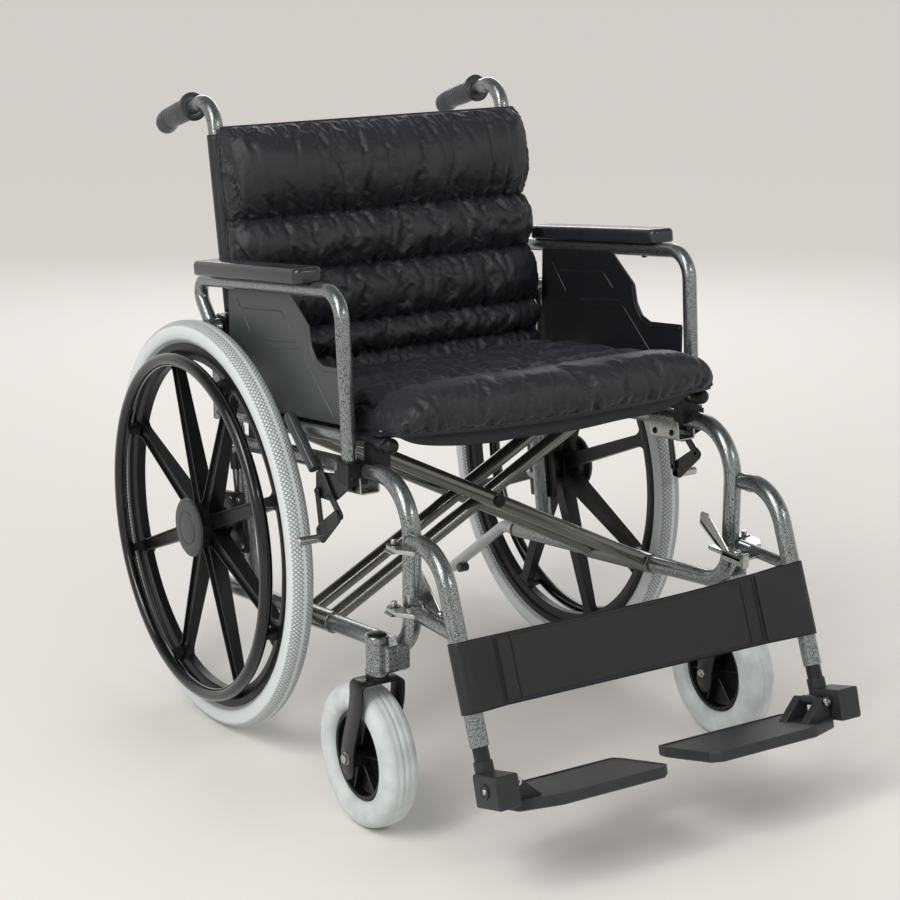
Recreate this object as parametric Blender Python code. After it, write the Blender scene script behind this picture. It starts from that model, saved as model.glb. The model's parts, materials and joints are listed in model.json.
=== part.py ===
"""Folding heavy-duty wheelchair at real size, in metres, +Z up, front towards -Y.

The sitter's left is +X. Every sub-part is written once for the left side and mirrored to the right.
Heights along the side frame fall towards the rear by one seat tilt, so a sloping line is named by
its height above the rear axle. Empties carry the bodies and sit on their joints' axes.
"""
import math

import bmesh
import bpy
from mathutils import Matrix, Vector

# Running clearances
GAP = 0.0003
RUN = 0.0005

# Side frame: one bent tube, an upright and a castor housing
SEAT_TILT = math.radians(7.0)
FRAME_X = 0.264
FRAME_RADIUS = 0.0125
LEG_Y = -0.505
UPPER_HEIGHT = 0.4266
LOWER_HEIGHT = 0.1945
TOP_BEND = 0.070
BOTTOM_BEND = 0.055
LOWER_END_Y = 0.045
UPRIGHT_Y = -0.071
UPRIGHT_LEAN = 0.17
UPRIGHT_TOP = 0.449

# Rear wheels: 24 inch tyre on an eight-spoke moulded wheel
WHEEL_RADIUS = 0.305
WHEEL_X = 0.315
TYRE_HALF = 0.018
RIM_HALF = 0.0125
RIM_DEPTH = 0.022
SPOKES = 8
HUB_RADIUS = 0.034
HUB_INWARD = 0.027
HUB_OUTWARD = 0.029
HUB_INNER = WHEEL_X - HUB_INWARD
HUB_OUTER = WHEEL_X + HUB_OUTWARD
AXLE_RADIUS = 0.0062
AXLE_INWARD = 0.012
CAP_RADIUS = 0.044
CAP_DEPTH = 0.007
HANDRIM_INSET = 0.0545
HANDRIM_RADIUS = 0.0095
HANDRIM_X = 0.3485
ROUND_STEPS = 40
CASTOR_STEPS = 28

# Castors: 8 by 2 inch
CASTOR_RADIUS = 0.100
CASTOR_HALF = 0.025
CASTOR_RIM = 0.061
CASTOR_X = 0.301
SWIVEL_Y = -0.476
TRAIL = 0.026
FORK_HALF = 0.0295
FORK_METAL = 0.004
FORK_WIDTH = 0.034
FORK_BELOW_AXLE = 0.030
CROWN_TOP = 0.2175
HOUSING_BOTTOM = 0.2225
HOUSING_TOP = 0.2775
HOUSING_RADIUS = 0.016
STEM_RADIUS = 0.006

# Seat rails and cross brace
RAIL_X = 0.256
RAIL_RADIUS = 0.010
RAIL_OVER = 0.0381
RAIL_HEIGHT = UPPER_HEIGHT + RAIL_OVER
RAIL_FRONT = -0.440
RAIL_REAR = -0.030
BRACE_RADIUS = 0.011
BRACE_A_Y = (-0.311, -0.176)
BRACE_B_Y = (-0.276, -0.211)
SLEEVE_RADIUS = 0.0155
SLEEVE_OVER = 0.016

# Back: canes, grips
CANE_RADIUS = 0.0115
CANE_X = 0.249
CANE_JOG_TOP = 0.500
CANE_CORNER = 0.923
CANE_BEND = 0.040
HANDLE_SLOPE = math.radians(16.7)
HANDLE_LENGTH = 0.165
GRIP_LENGTH = 0.105
GRIP_RADIUS = 0.0165
FLANGE_RADIUS = 0.0215
FLANGE_DEPTH = 0.006

# Armrests: bent loop with a flip-back hinge at the rear
ARM_X = 0.2855
ARM_RADIUS = 0.0104
ARM_HEIGHT = 0.6692
ARM_FRONT_Y = -0.3618
ARM_REAR_Y = 0.089
ARM_FOOT_Y = -0.3797
ARM_FOOT_OVER = 0.0153
ARM_KNEE_DROP = 0.0942
ARM_REAR_POST_Y = 0.012
ARM_HINGE_Y = 0.030
ARM_HINGE_DROP = 0.0752
ARM_HINGE = (ARM_HINGE_Y, ARM_HEIGHT - ARM_HINGE_DROP)
ARM_BAR_REAR_OVER = 0.0454
ARM_BAR_REAR = UPPER_HEIGHT + ARM_BAR_REAR_OVER
ARM_PIN_RADIUS = 0.004
PAD_X = (0.2716, 0.3156)
PAD_Y = (-0.295, 0.029)
PAD_THICKNESS = 0.022
GUARD_THICKNESS = 0.003

# Legrests
HANGER_X = 0.2715
HANGER_RADIUS = 0.0125
HANGER_START = (-0.5190, 0.4110)
HANGER_CORNER = (-0.5870, 0.4205)
HANGER_BEND = 0.068
HANGER_LEAN = math.radians(22.3)
HANGER_END = 0.187
HANGER_PIVOT = (0.290, -0.503)
HANGER_PIN_RADIUS = 0.004
HANGER_EARS = (0.3165, 0.4015)
EAR_THICKNESS = 0.005
TONGUE_THICKNESS = 0.006
LATCH_PIVOT = (0.2435, -0.545)
EXTENSION_RADIUS = 0.0105
EXTENSION_REACH = 0.110
PLATE_TILT = math.radians(16.0)
FOOT_HINGE = (0.2515, -0.7404, 0.1574)
FOOT_DROP = 0.0228
FOOT_THICKNESS = 0.015
FOOT_REAR = -0.108
FOOT_FRONT = 0.025
FOOT_INNER = 0.034
CLAMP_X = (0.2590, 0.2930)

# Wheel locks, one layer beside the other
LOCK_LEVER_X = (0.2968, 0.3000)
LOCK_PLATE_X = (0.3004, 0.3040)
LOCK_LEVER_PIVOT = (-WHEEL_RADIUS - 0.044, UPPER_HEIGHT + 0.0094)
LOCK_LEVER_END = (-WHEEL_RADIUS - 0.071, UPPER_HEIGHT - 0.0126)
LOCK_LEVER_TOP = (-WHEEL_RADIUS - 0.005, UPPER_HEIGHT + 0.0499)
LOCK_LINK_PIVOT = (-WHEEL_RADIUS - 0.007, UPPER_HEIGHT + 0.0054)
LOCK_LINK_END = (-WHEEL_RADIUS - 0.018, UPPER_HEIGHT - 0.0456)
LOCK_SHOE = (-WHEEL_RADIUS - 0.021, UPPER_HEIGHT - 0.0566)
LOCK_GRIP_X = 0.3075
LOCK_GRIP_LOW = (-WHEEL_RADIUS - 0.013, UPPER_HEIGHT + 0.0434)
LOCK_GRIP_TOP = (-WHEEL_RADIUS + 0.055, UPPER_HEIGHT + 0.1004)
LOCK_BRACKET_Y = (-WHEEL_RADIUS - 0.093, -WHEEL_RADIUS + 0.009)
LOCK_BRACKET_DROP = 0.0076
LOCK_SHOE_RADIUS = 0.006
LOCK_PIN_RADIUS = 0.003

# Anti-tip tube on the left
TIP_RADIUS = 0.0095
TIP_ELBOW_Y = 0.088
TIP_END = (0.250, 0.066)

# Upholstery
SLING_THICKNESS = 0.0018
SLING_SAG = 0.010
SEAT_FRONT = -0.484
SEAT_REAR = -0.080
SEAT_HALF = 0.255
SEAT_THICKNESS = 0.064
SEAT_CHANNELS = 5
BACK_HALF = 0.260
BACK_BOTTOM = 0.493
BACK_THICKNESS = 0.064
BACK_ROLLS = (0.045, 0.045, 0.086, 0.080, 0.134)
STRAP_TOP = 0.3105
STRAP_BOTTOM = 0.226

# The origin is midway between the rear of the tyres and the front of the footplates
FOOT_TIP_Y = (FOOT_HINGE[1] - FOOT_FRONT * math.cos(PLATE_TILT)
              - (FOOT_DROP + FOOT_THICKNESS) * math.sin(PLATE_TILT))
CENTRE_Y = -(WHEEL_RADIUS + FOOT_TIP_Y) / 2.0

LEFT = "left"
RIGHT = "right"
BODIES = {}
PIVOTS = {}


# Lines and directions of the chair

def sloped(height, y):
    """Height at y of a line that falls to the rear by the seat tilt."""
    return height - math.tan(SEAT_TILT) * y


def arm_foot():
    """Foot of the armrest's front post, over the upper tube."""
    return ARM_FOOT_Y, sloped(UPPER_HEIGHT, ARM_FOOT_Y) + ARM_FOOT_OVER


def upright_y(z):
    """Position of the leaning upright and cane at a height."""
    return UPRIGHT_Y + UPRIGHT_LEAN * z


def hanger_point(z):
    """Centre of the hanger's straight run at a height."""
    y = HANGER_CORNER[0] - math.tan(HANGER_LEAN) * (HANGER_CORNER[1] - z)
    return Vector((HANGER_X, y, z))


def hanger_down():
    """Direction of the hanger's straight run, downwards."""
    return Vector((0.0, -math.sin(HANGER_LEAN), -math.cos(HANGER_LEAN)))


def foot_point(x, along, up):
    """Point of the footplate's own frame: x, forwards along the plate, and square to it."""
    forward = Vector((0.0, -math.cos(PLATE_TILT), math.sin(PLATE_TILT)))
    square = Vector((0.0, math.sin(PLATE_TILT), math.cos(PLATE_TILT)))
    hinge = Vector((0.0, FOOT_HINGE[1], FOOT_HINGE[2]))
    return Vector((x, 0.0, 0.0)) + hinge + forward * along + square * up


def arm_flat():
    """Distance from the armrest tube's centre to its flat sides."""
    return ARM_RADIUS * math.cos(math.pi / 8)


def guard_x():
    """Inner and outer face of the skirt guard, which lies on the armrest tube."""
    outer = ARM_X - arm_flat() - GAP
    return outer - GUARD_THICKNESS, outer


def bored(radius, clearance, sides):
    """Radius of a bore with flat sides whose flats stay clear of a round piece inside it."""
    return (radius + clearance) / math.cos(math.pi / sides)


# Shape tools

def shape_from(mesh_builder):
    """Scene object that holds a finished bmesh, with its faces out."""
    bmesh.ops.recalc_face_normals(mesh_builder, faces=mesh_builder.faces)
    if mesh_builder.calc_volume(signed=True) < 0:
        bmesh.ops.reverse_faces(mesh_builder, faces=mesh_builder.faces)
    mesh = bpy.data.meshes.new("shape")
    mesh_builder.to_mesh(mesh)
    mesh_builder.free()
    shape = bpy.data.objects.new("shape", mesh)
    bpy.context.scene.collection.objects.link(shape)
    return shape


def loft(rings, closed=False):
    """Solid through rings of equally many points, capped at both ends or closed on itself."""
    builder = bmesh.new()
    loops = [[builder.verts.new(point) for point in ring] for ring in rings]
    count = len(loops[0])
    pairs = list(zip(loops, loops[1:]))
    if closed:
        pairs.append((loops[-1], loops[0]))
    for low, high in pairs:
        for index in range(count):
            after = (index + 1) % count
            builder.faces.new((low[index], low[after], high[after], high[index]))
    if not closed:
        builder.faces.new(loops[0])
        builder.faces.new(loops[-1])
    return shape_from(builder)


def tube(path, radius, sides=8):
    """Round bar along a path, its ring carried along without twist."""
    points = [Vector(point) for point in path]
    heading = (points[1] - points[0]).normalized()
    across = heading.orthogonal().normalized()
    rings = []
    for index, point in enumerate(points):
        before = points[max(index - 1, 0)]
        after = points[min(index + 1, len(points) - 1)]
        turn = heading.rotation_difference((after - before).normalized())
        heading = (after - before).normalized()
        across = turn @ across
        beside = heading.cross(across)
        angles = [2 * math.pi * (side + 0.5) / sides for side in range(sides)]
        rings.append([point + (across * math.cos(a) + beside * math.sin(a)) * radius for a in angles])
    return loft(rings)


def rounded(points, radii, steps=4):
    """Path through the points with each inner corner turned by an arc of its radius."""
    points = [Vector(point) for point in points]
    path = [points[0]]
    for before, corner, after, radius in zip(points, points[1:], points[2:], radii):
        into = (before - corner).normalized()
        out = (after - corner).normalized()
        angle = into.angle(out)
        centre = corner + (into + out).normalized() * radius / math.sin(angle / 2)
        first = corner + into * radius / math.tan(angle / 2) - centre
        last = corner + out * radius / math.tan(angle / 2) - centre
        sweep = math.pi - angle
        for step in range(steps + 1):
            share = step / steps
            near = math.sin((1 - share) * sweep) / math.sin(sweep)
            far = math.sin(share * sweep) / math.sin(sweep)
            path.append(centre + first * near + last * far)
    path.append(points[-1])
    return path


def rod(start, end, radius, sides=8):
    """Straight round bar."""
    return tube((start, end), radius, sides)


def rod_x(y, z, x_low, x_high, radius, sides=8):
    """Round bar along X."""
    return rod((x_low, y, z), (x_high, y, z), radius, sides)


def box(x_range, y_range, z_range):
    """Square block between three pairs of limits."""
    low = [(x_range[0], y, z_range[0]) for y in y_range]
    ring_low = [low[0], low[1], (x_range[1], y_range[1], z_range[0]), (x_range[1], y_range[0], z_range[0])]
    ring_high = [(x, y, z_range[1]) for x, y, z in ring_low]
    return loft((ring_low, ring_high))


def slab(outline, x_low, x_high):
    """Flat plate square to X with an outline of (y, z) points."""
    return loft(([(x_low, y, z) for y, z in outline], [(x_high, y, z) for y, z in outline]))


def deck(outline, z_low, z_high):
    """Flat plate square to Z with an outline of (x, y) points."""
    return loft(([(x, y, z_low) for x, y in outline], [(x, y, z_high) for x, y in outline]))


def bar(start, end, width, x_low, x_high):
    """Flat link square to X between two (y, z) points, with rounded ends."""
    run = Vector((end[0] - start[0], end[1] - start[1]))
    heading = math.atan2(run.y, run.x)
    outline = []
    for centre, base in ((start, heading + math.pi / 2), (end, heading - math.pi / 2)):
        for step in range(5):
            angle = base + math.pi * step / 4
            outline.append((centre[0] + width / 2 * math.cos(angle), centre[1] + width / 2 * math.sin(angle)))
    return slab(outline, x_low, x_high)


def turned(profile, y, z, steps=ROUND_STEPS):
    """Ring turned about the X axis through (y, z) from a closed (x, radius) profile."""
    rings = []
    for step in range(steps):
        angle = 2 * math.pi * step / steps
        rings.append([(x, y + r * math.sin(angle), z + r * math.cos(angle)) for x, r in profile])
    return loft(rings, closed=True)


def combined(base, tools, operation):
    """The base with each tool joined to it or cut from it."""
    for tool in tools:
        modifier = base.modifiers.new("combine", "BOOLEAN")
        modifier.operation = operation
        modifier.solver = "EXACT"
        modifier.object = tool
        bpy.context.view_layer.update()
        evaluated = base.evaluated_get(bpy.context.evaluated_depsgraph_get())
        mesh = bpy.data.meshes.new_from_object(evaluated)
        base.modifiers.clear()
        base.data = mesh
        bpy.data.objects.remove(tool)
    return base


def fused(base, *tools):
    """Welded or moulded in one piece."""
    return combined(base, tools, "UNION")


def cut(base, *tools):
    """With each tool's space taken out."""
    return combined(base, tools, "DIFFERENCE")


def grouped(base, *others):
    """Separate solids kept in one object."""
    builder = bmesh.new()
    for shape in (base, *others):
        builder.from_mesh(shape.data)
    mesh = bpy.data.meshes.new("shape")
    builder.to_mesh(mesh)
    builder.free()
    base.data = mesh
    for shape in others:
        bpy.data.objects.remove(shape)
    return base


def mirrored(shape):
    """The same piece for the other side of the chair."""
    shape.data.transform(Matrix.Scale(-1.0, 4, (1.0, 0.0, 0.0)))
    shape.data.flip_normals()
    return shape


# Materials, bodies and placing

def finish(name, colour, roughness, metallic):
    """Material of one object, its colour given as sRGB hex."""
    channels = [int(colour[index:index + 2], 16) / 255 for index in (0, 2, 4)]
    linear = [c / 12.92 if c <= 0.04045 else ((c + 0.055) / 1.055) ** 2.4 for c in channels]
    material = bpy.data.materials.new(name)
    material.use_nodes = True
    shader = material.node_tree.nodes["Principled BSDF"]
    shader.inputs["Base Color"].default_value = (*linear, 1.0)
    shader.inputs["Roughness"].default_value = roughness
    shader.inputs["Metallic"].default_value = metallic
    material.diffuse_color = (*linear, 1.0)
    return material


HAMMERTONE = ("8C918F", 0.35, 0.6)
GUNMETAL = ("6B6A66", 0.30, 0.8)
ZINC = ("A9ABA8", 0.30, 0.9)
STEEL = ("B9BBBA", 0.25, 1.0)
BLACK_PLASTIC = ("1E1F21", 0.45, 0.0)
GREY_PLASTIC = ("3A3D40", 0.55, 0.0)
BLACK_GLOSS = ("101214", 0.20, 0.0)
RUBBER = ("2A2B2D", 0.70, 0.0)
GREY_TYRE = ("C9D0CF", 0.65, 0.0)
NYLON = ("2F3034", 0.60, 0.0)
PAD_SKIN = ("2C2E31", 0.40, 0.0)


def body(name, parent, pivot):
    """Empty that carries one body, on its joint's axis."""
    carrier = bpy.data.objects.new(name, None)
    bpy.context.scene.collection.objects.link(carrier)
    carrier.parent = BODIES.get(parent)
    carrier.location = Vector(pivot) - PIVOTS.get(parent, Vector())
    BODIES[name] = carrier
    PIVOTS[name] = Vector(pivot)


def place(shape, name, look, owner):
    """Name the piece, give it its material and hang it on its body."""
    shape.name = name
    shape.data.name = name
    shape.data.transform(Matrix.Translation(-PIVOTS[owner]))
    shape.parent = BODIES[owner]
    shape.data.materials.clear()
    shape.data.materials.append(finish(name, *look))
    shape.data.shade_smooth()
    shape.data.set_sharp_from_angle(angle=math.radians(35.0))


def sided(shape, part, side, look, owner):
    """Place a piece that is drawn for the left, mirrored where it belongs to the right."""
    if side == RIGHT:
        mirrored(shape)
    place(shape, part + "_" + side, look, owner)


def flipped(point, side):
    """The point, or its mirror image for the right side."""
    return Vector((point[0] if side == LEFT else -point[0], point[1], point[2]))


# Side frame and what is fixed to it

def frame_path():
    """Centre line of the bent tube: lower run, leg and upper run."""
    corners = (
        (FRAME_X, LOWER_END_Y, sloped(LOWER_HEIGHT, LOWER_END_Y)),
        (FRAME_X, LEG_Y, sloped(LOWER_HEIGHT, LEG_Y)),
        (FRAME_X, LEG_Y, sloped(UPPER_HEIGHT, LEG_Y)),
        (FRAME_X, upright_y(UPPER_HEIGHT), sloped(UPPER_HEIGHT, upright_y(UPPER_HEIGHT))),
    )
    return rounded(corners, (BOTTOM_BEND, TOP_BEND))


def upright_point(z):
    """Point on the upright's centre line."""
    return Vector((FRAME_X, upright_y(z), z))


def side_frame():
    """Bent tube, upright, axle boss, castor housing and the hanger's ears, welded together."""
    boss_z = WHEEL_RADIUS
    frame = fused(
        tube(frame_path(), FRAME_RADIUS),
        rod(upright_point(LOWER_HEIGHT + 0.003), upright_point(UPRIGHT_TOP), FRAME_RADIUS),
        box((0.2705, 0.2795), (-0.046, 0.021), (boss_z - 0.045, boss_z + 0.045)),
        rod_x(0.0, boss_z, 0.258, HUB_INNER - 2 * RUN, 0.0145, 12),
        rod((CASTOR_X, SWIVEL_Y, HOUSING_BOTTOM), (CASTOR_X, SWIVEL_Y, HOUSING_TOP), HOUSING_RADIUS, 14),
        box((FRAME_X + 0.002, CASTOR_X), (SWIVEL_Y - 0.030, SWIVEL_Y + 0.013), (0.2285, 0.2685)),
    )
    pivot_x, pivot_y = HANGER_PIVOT
    for ear_top in HANGER_EARS:
        ear = box((FRAME_X + 0.006, pivot_x + 0.010), (pivot_y - 0.009, pivot_y + 0.009),
                  (ear_top - EAR_THICKNESS, ear_top))
        pin_top = ear_top + TONGUE_THICKNESS + 0.007
        pin = rod((pivot_x, pivot_y, ear_top - EAR_THICKNESS / 2), (pivot_x, pivot_y, pin_top),
                  HANGER_PIN_RADIUS, 10)
        frame = fused(frame, ear, pin)
    stem_bore = rod((CASTOR_X, SWIVEL_Y, HOUSING_BOTTOM - 0.010), (CASTOR_X, SWIVEL_Y, HOUSING_TOP - 0.007),
                    STEM_RADIUS + 2 * RUN, 12)
    axle_bore = rod_x(0.0, boss_z, 0.250, 0.300, AXLE_RADIUS + 2 * RUN, 12)
    end_y = LOWER_END_Y + 0.010
    bore_y = LOWER_END_Y - 0.045
    tip_bore = rod((FRAME_X, bore_y, sloped(LOWER_HEIGHT, bore_y)),
                   (FRAME_X, end_y, sloped(LOWER_HEIGHT, end_y)), TIP_RADIUS + 2 * RUN, 12)
    return cut(frame, stem_bore, axle_bore, tip_bore)


def cane_path():
    """Centre line of the back cane: a jog inwards, the leaning run and the handle."""
    corner_y = upright_y(CANE_CORNER)
    start = upright_point(UPRIGHT_TOP) + Vector((0.0, UPRIGHT_LEAN, 1.0)).normalized() * GAP
    handle = Vector((0.0, math.cos(HANDLE_SLOPE), -math.sin(HANDLE_SLOPE)))
    corner = Vector((CANE_X, corner_y, CANE_CORNER))
    points = (start, upright_point(UPRIGHT_TOP + 0.004), (CANE_X, upright_y(CANE_JOG_TOP), CANE_JOG_TOP),
              corner, corner + handle * HANDLE_LENGTH)
    return rounded(points, (0.016, 0.030, CANE_BEND), 4)


def back_cane():
    """Back tube with its push handle in one bend."""
    return tube(cane_path(), CANE_RADIUS, 10)


def handle_grip():
    """Rubber grip over the handle: flange, sleeve and drooping end."""
    handle = Vector((0.0, math.cos(HANDLE_SLOPE), -math.sin(HANDLE_SLOPE)))
    tip = Vector((CANE_X, upright_y(CANE_CORNER), CANE_CORNER)) + handle * (HANDLE_LENGTH + GAP)
    start = tip - handle * (GRIP_LENGTH - 0.008)
    end = tip + handle * 0.008
    droop = tip - handle * 0.010 + Vector((0.0, 0.0, -0.005))
    grip = fused(
        rod(start, end, GRIP_RADIUS, 12),
        rod(start, start + handle * FLANGE_DEPTH, FLANGE_RADIUS, 14),
        rod(droop - handle * 0.012, droop + handle * 0.016, GRIP_RADIUS * 0.98, 12),
    )
    return cut(grip, rod(start - handle * 0.01, tip, bored(CANE_RADIUS, GAP, 12), 12))


def saddle_block(y):
    """Open plastic saddle on the upper tube at y that the folding seat rail rests in."""
    span = (y - 0.011, y + 0.011)
    rail_z = sloped(RAIL_HEIGHT, y)
    return box((RAIL_X - RAIL_RADIUS - 0.0035, RAIL_X + RAIL_RADIUS + 0.0045), span,
               (sloped(UPPER_HEIGHT, y) - 0.002, rail_z + 0.001))


def saddle_spaces(y):
    """Spaces of the upper tube and of the seat rail at y, the rail's open upwards."""
    reach = (y - 0.045, y + 0.045)
    return (
        rod((FRAME_X, reach[0], sloped(UPPER_HEIGHT, reach[0])),
            (FRAME_X, reach[1], sloped(UPPER_HEIGHT, reach[1])), bored(FRAME_RADIUS, GAP, 14), 14),
        rod((RAIL_X, reach[0], sloped(RAIL_HEIGHT, reach[0])),
            (RAIL_X, reach[1], sloped(RAIL_HEIGHT, reach[1])), bored(RAIL_RADIUS, RUN, 14), 14),
        box((RAIL_X - bored(RAIL_RADIUS, RUN, 14), RAIL_X + bored(RAIL_RADIUS, RUN, 14)), reach,
            (sloped(RAIL_HEIGHT, y), sloped(RAIL_HEIGHT, y) + 0.030)),
    )


def rear_saddle():
    """Rear rest of the seat rail."""
    y = RAIL_REAR - 0.030
    return cut(saddle_block(y), *saddle_spaces(y))


def arm_socket():
    """Moulded socket for the armrest's front post, in one with the front rest of the seat rail."""
    foot_y, foot_z = arm_foot()
    tube_z = sloped(UPPER_HEIGHT, foot_y)
    socket = box((FRAME_X + 0.0015, ARM_X + ARM_RADIUS), (foot_y - 0.015, foot_y + 0.016),
                 (tube_z - 0.0155, foot_z - 0.0013))
    saddle_y = foot_y - 0.024
    return cut(fused(socket, saddle_block(saddle_y)), *saddle_spaces(saddle_y))


def arm_clamp():
    """Clamp on the cane with the armrest's hinge pin."""
    hinge_y, hinge_z = ARM_HINGE
    wrap = CANE_RADIUS + 0.004
    clamp = cut(
        box((CANE_X - wrap, guard_x()[0] - RUN), (upright_y(hinge_z) - wrap, upright_y(hinge_z) + wrap),
            (hinge_z - 0.017, hinge_z + 0.017)),
        tube(cane_path(), bored(CANE_RADIUS, GAP, 14), 14),
    )
    boss = rod_x(hinge_y, hinge_z, guard_x()[0] - 0.004, ARM_X - ARM_RADIUS - RUN, 0.0090, 12)
    pin = rod_x(hinge_y, hinge_z, guard_x()[0] - 0.003, ARM_X + ARM_RADIUS - 0.001, ARM_PIN_RADIUS)
    return fused(clamp, boss, pin)


# Rear wheel

def tyre():
    """Tyre with a flat tread and a flat seat on the rim."""
    middle = WHEEL_RADIUS - TYRE_HALF
    corner = TYRE_HALF / math.cos(math.pi / 8)
    angles = [math.pi / 8 + math.pi * side / 4 for side in range(8)]
    profile = [(WHEEL_X + corner * math.cos(a), middle + corner * math.sin(a)) for a in angles]
    return turned(profile, 0.0, WHEEL_RADIUS)


def rim_seat():
    """Radius of the rim under the tyre, whose flats lie over the rim's own."""
    return WHEEL_RADIUS - 2 * TYRE_HALF - GAP / math.cos(math.pi / ROUND_STEPS)


def mag_wheel():
    """Moulded wheel: channelled rim, eight spokes and hub."""
    seat = rim_seat()
    half = RIM_HALF
    rim = turned(((WHEEL_X - half, seat), (WHEEL_X - half, seat - 0.008), (WHEEL_X - half + 0.004, seat - RIM_DEPTH),
                  (WHEEL_X + half - 0.004, seat - RIM_DEPTH), (WHEEL_X + half, seat - 0.008), (WHEEL_X + half, seat)),
                 0.0, WHEEL_RADIUS)
    bore = AXLE_RADIUS + GAP * 2
    hub = turned(((HUB_INNER, bore), (HUB_INNER, 0.022), (WHEEL_X - 0.012, HUB_RADIUS),
                  (HUB_OUTER, HUB_RADIUS), (HUB_OUTER, bore)), 0.0, WHEEL_RADIUS, 16)
    spokes = []
    for index in range(SPOKES):
        angle = 2 * math.pi * (index + 0.5) / SPOKES
        outward = Vector((0.0, math.sin(angle), math.cos(angle)))
        beside = Vector((0.0, math.cos(angle), -math.sin(angle)))
        centre = Vector((0.0, 0.0, WHEEL_RADIUS))
        rings = []
        for reach, width, face in ((0.030, 0.0115, 0.0125), (seat - RIM_DEPTH + 0.006, 0.0085, 0.0065)):
            middle = centre + outward * reach
            sections = ((-width, WHEEL_X - face), (width, WHEEL_X - face), (width, WHEEL_X + face),
                        (-width, WHEEL_X + face))
            rings.append([middle + beside * side + Vector((x, 0.0, 0.0)) for side, x in sections])
        spokes.append(loft(rings))
    return fused(hub, *spokes, rim)


def wheel_axle():
    """Quick-release axle with its round hub cap."""
    outer = HUB_OUTER + GAP
    return fused(rod_x(0.0, WHEEL_RADIUS, FRAME_X - AXLE_INWARD, outer + 0.002, AXLE_RADIUS, 12),
                 rod_x(0.0, WHEEL_RADIUS, outer, outer + CAP_DEPTH, CAP_RADIUS, 24))


def handrim():
    """Hand rim on eight short stand-offs."""
    ring_radius = WHEEL_RADIUS - HANDRIM_INSET
    profile = []
    for side in range(6):
        angle = 2 * math.pi * side / 6
        profile.append((HANDRIM_X + HANDRIM_RADIUS * math.cos(angle), ring_radius + HANDRIM_RADIUS * math.sin(angle)))
    ring = turned(profile, 0.0, WHEEL_RADIUS, 32)
    stands = []
    for index in range(SPOKES):
        angle = 2 * math.pi * (index + 0.5) / SPOKES
        outward = Vector((0.0, math.sin(angle), math.cos(angle)))
        beside = Vector((0.0, math.cos(angle), -math.sin(angle)))
        centre = Vector((0.0, 0.0, WHEEL_RADIUS))
        rings = []
        for x in (WHEEL_X + RIM_HALF + GAP, HANDRIM_X - 0.003):
            corners = ((-0.007, -0.004), (0.007, -0.004), (0.007, 0.010), (-0.007, 0.010))
            rings.append([centre + Vector((x, 0.0, 0.0)) + beside * side + outward * (ring_radius + up)
                          for side, up in corners])
        stands.append(loft(rings))
    return fused(ring, grouped(*stands))


# Castor

def axle_y():
    """Castor axle, trailing behind its swivel."""
    return SWIVEL_Y + TRAIL


def castor_fork():
    """Flat-bar fork with its crown, stem, axle bolt and spare axle hole."""
    low = CASTOR_RADIUS - FORK_BELOW_AXLE
    half = FORK_WIDTH / 2
    crown_low = CROWN_TOP - FORK_METAL
    outline = ((SWIVEL_Y - half, CROWN_TOP), (SWIVEL_Y + half, CROWN_TOP), (SWIVEL_Y + half, 0.195),
               (axle_y() + half * 0.9, low), (axle_y() - half * 0.9, low), (SWIVEL_Y - half, 0.180))
    outer = FORK_HALF + FORK_METAL
    fork = fused(
        box((CASTOR_X - FORK_HALF - 0.001, CASTOR_X + FORK_HALF + 0.001), (SWIVEL_Y - half, SWIVEL_Y + half),
            (crown_low, CROWN_TOP)),
        slab(outline, CASTOR_X + FORK_HALF, CASTOR_X + outer),
        slab(outline, CASTOR_X - outer, CASTOR_X - FORK_HALF),
        rod((CASTOR_X, SWIVEL_Y, CROWN_TOP - 0.002), (CASTOR_X, SWIVEL_Y, HOUSING_BOTTOM - RUN), 0.011, 10),
        rod((CASTOR_X, SWIVEL_Y, CROWN_TOP - 0.002), (CASTOR_X, SWIVEL_Y, HOUSING_TOP - 0.012), STEM_RADIUS, 10),
    )
    face = outer
    bolt = fused(
        rod_x(axle_y(), CASTOR_RADIUS, CASTOR_X - face - 0.009, CASTOR_X + face + 0.003, 0.004, 10),
        rod_x(axle_y(), CASTOR_RADIUS, CASTOR_X + face - 0.001, CASTOR_X + face + 0.006, 0.0075, 6),
        rod_x(axle_y(), CASTOR_RADIUS, CASTOR_X - face - 0.006, CASTOR_X - face + 0.001, 0.0075, 6),
    )
    spare = rod_x(axle_y() - 0.003, CASTOR_RADIUS - 0.021, CASTOR_X - 0.040, CASTOR_X + 0.040, 0.0035, 8)
    return cut(fused(fork, bolt), spare)


def castor_tyre():
    """Wide round-shouldered castor tyre."""
    half = CASTOR_HALF
    rim = CASTOR_RIM + GAP
    r = CASTOR_RADIUS
    profile = ((-0.018, rim), (-half, r - 0.022), (-0.020, r - 0.006), (-0.010, r),
               (0.010, r), (0.020, r - 0.006), (half, r - 0.022), (0.018, rim))
    return turned([(CASTOR_X + x, radius) for x, radius in profile], axle_y(), CASTOR_RADIUS, CASTOR_STEPS)


def castor_hub():
    """Dished plastic centre: hub, thin web and rim."""
    rim = CASTOR_RIM * math.cos(math.pi / CASTOR_STEPS) - GAP
    profile = ((-0.0265, 0.0048), (-0.0265, 0.014), (-0.004, 0.017), (-0.004, rim - 0.007), (-0.016, rim - 0.005),
               (-0.016, rim), (0.016, rim), (0.016, rim - 0.005), (0.004, rim - 0.007), (0.004, 0.017),
               (0.0265, 0.014), (0.0265, 0.0048))
    return turned([(CASTOR_X + x, radius) for x, radius in profile], axle_y(), CASTOR_RADIUS, 16)


# Cross brace

def rail_point(x, y):
    """Point on a seat rail."""
    return Vector((x, y, sloped(RAIL_HEIGHT, y)))


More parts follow.
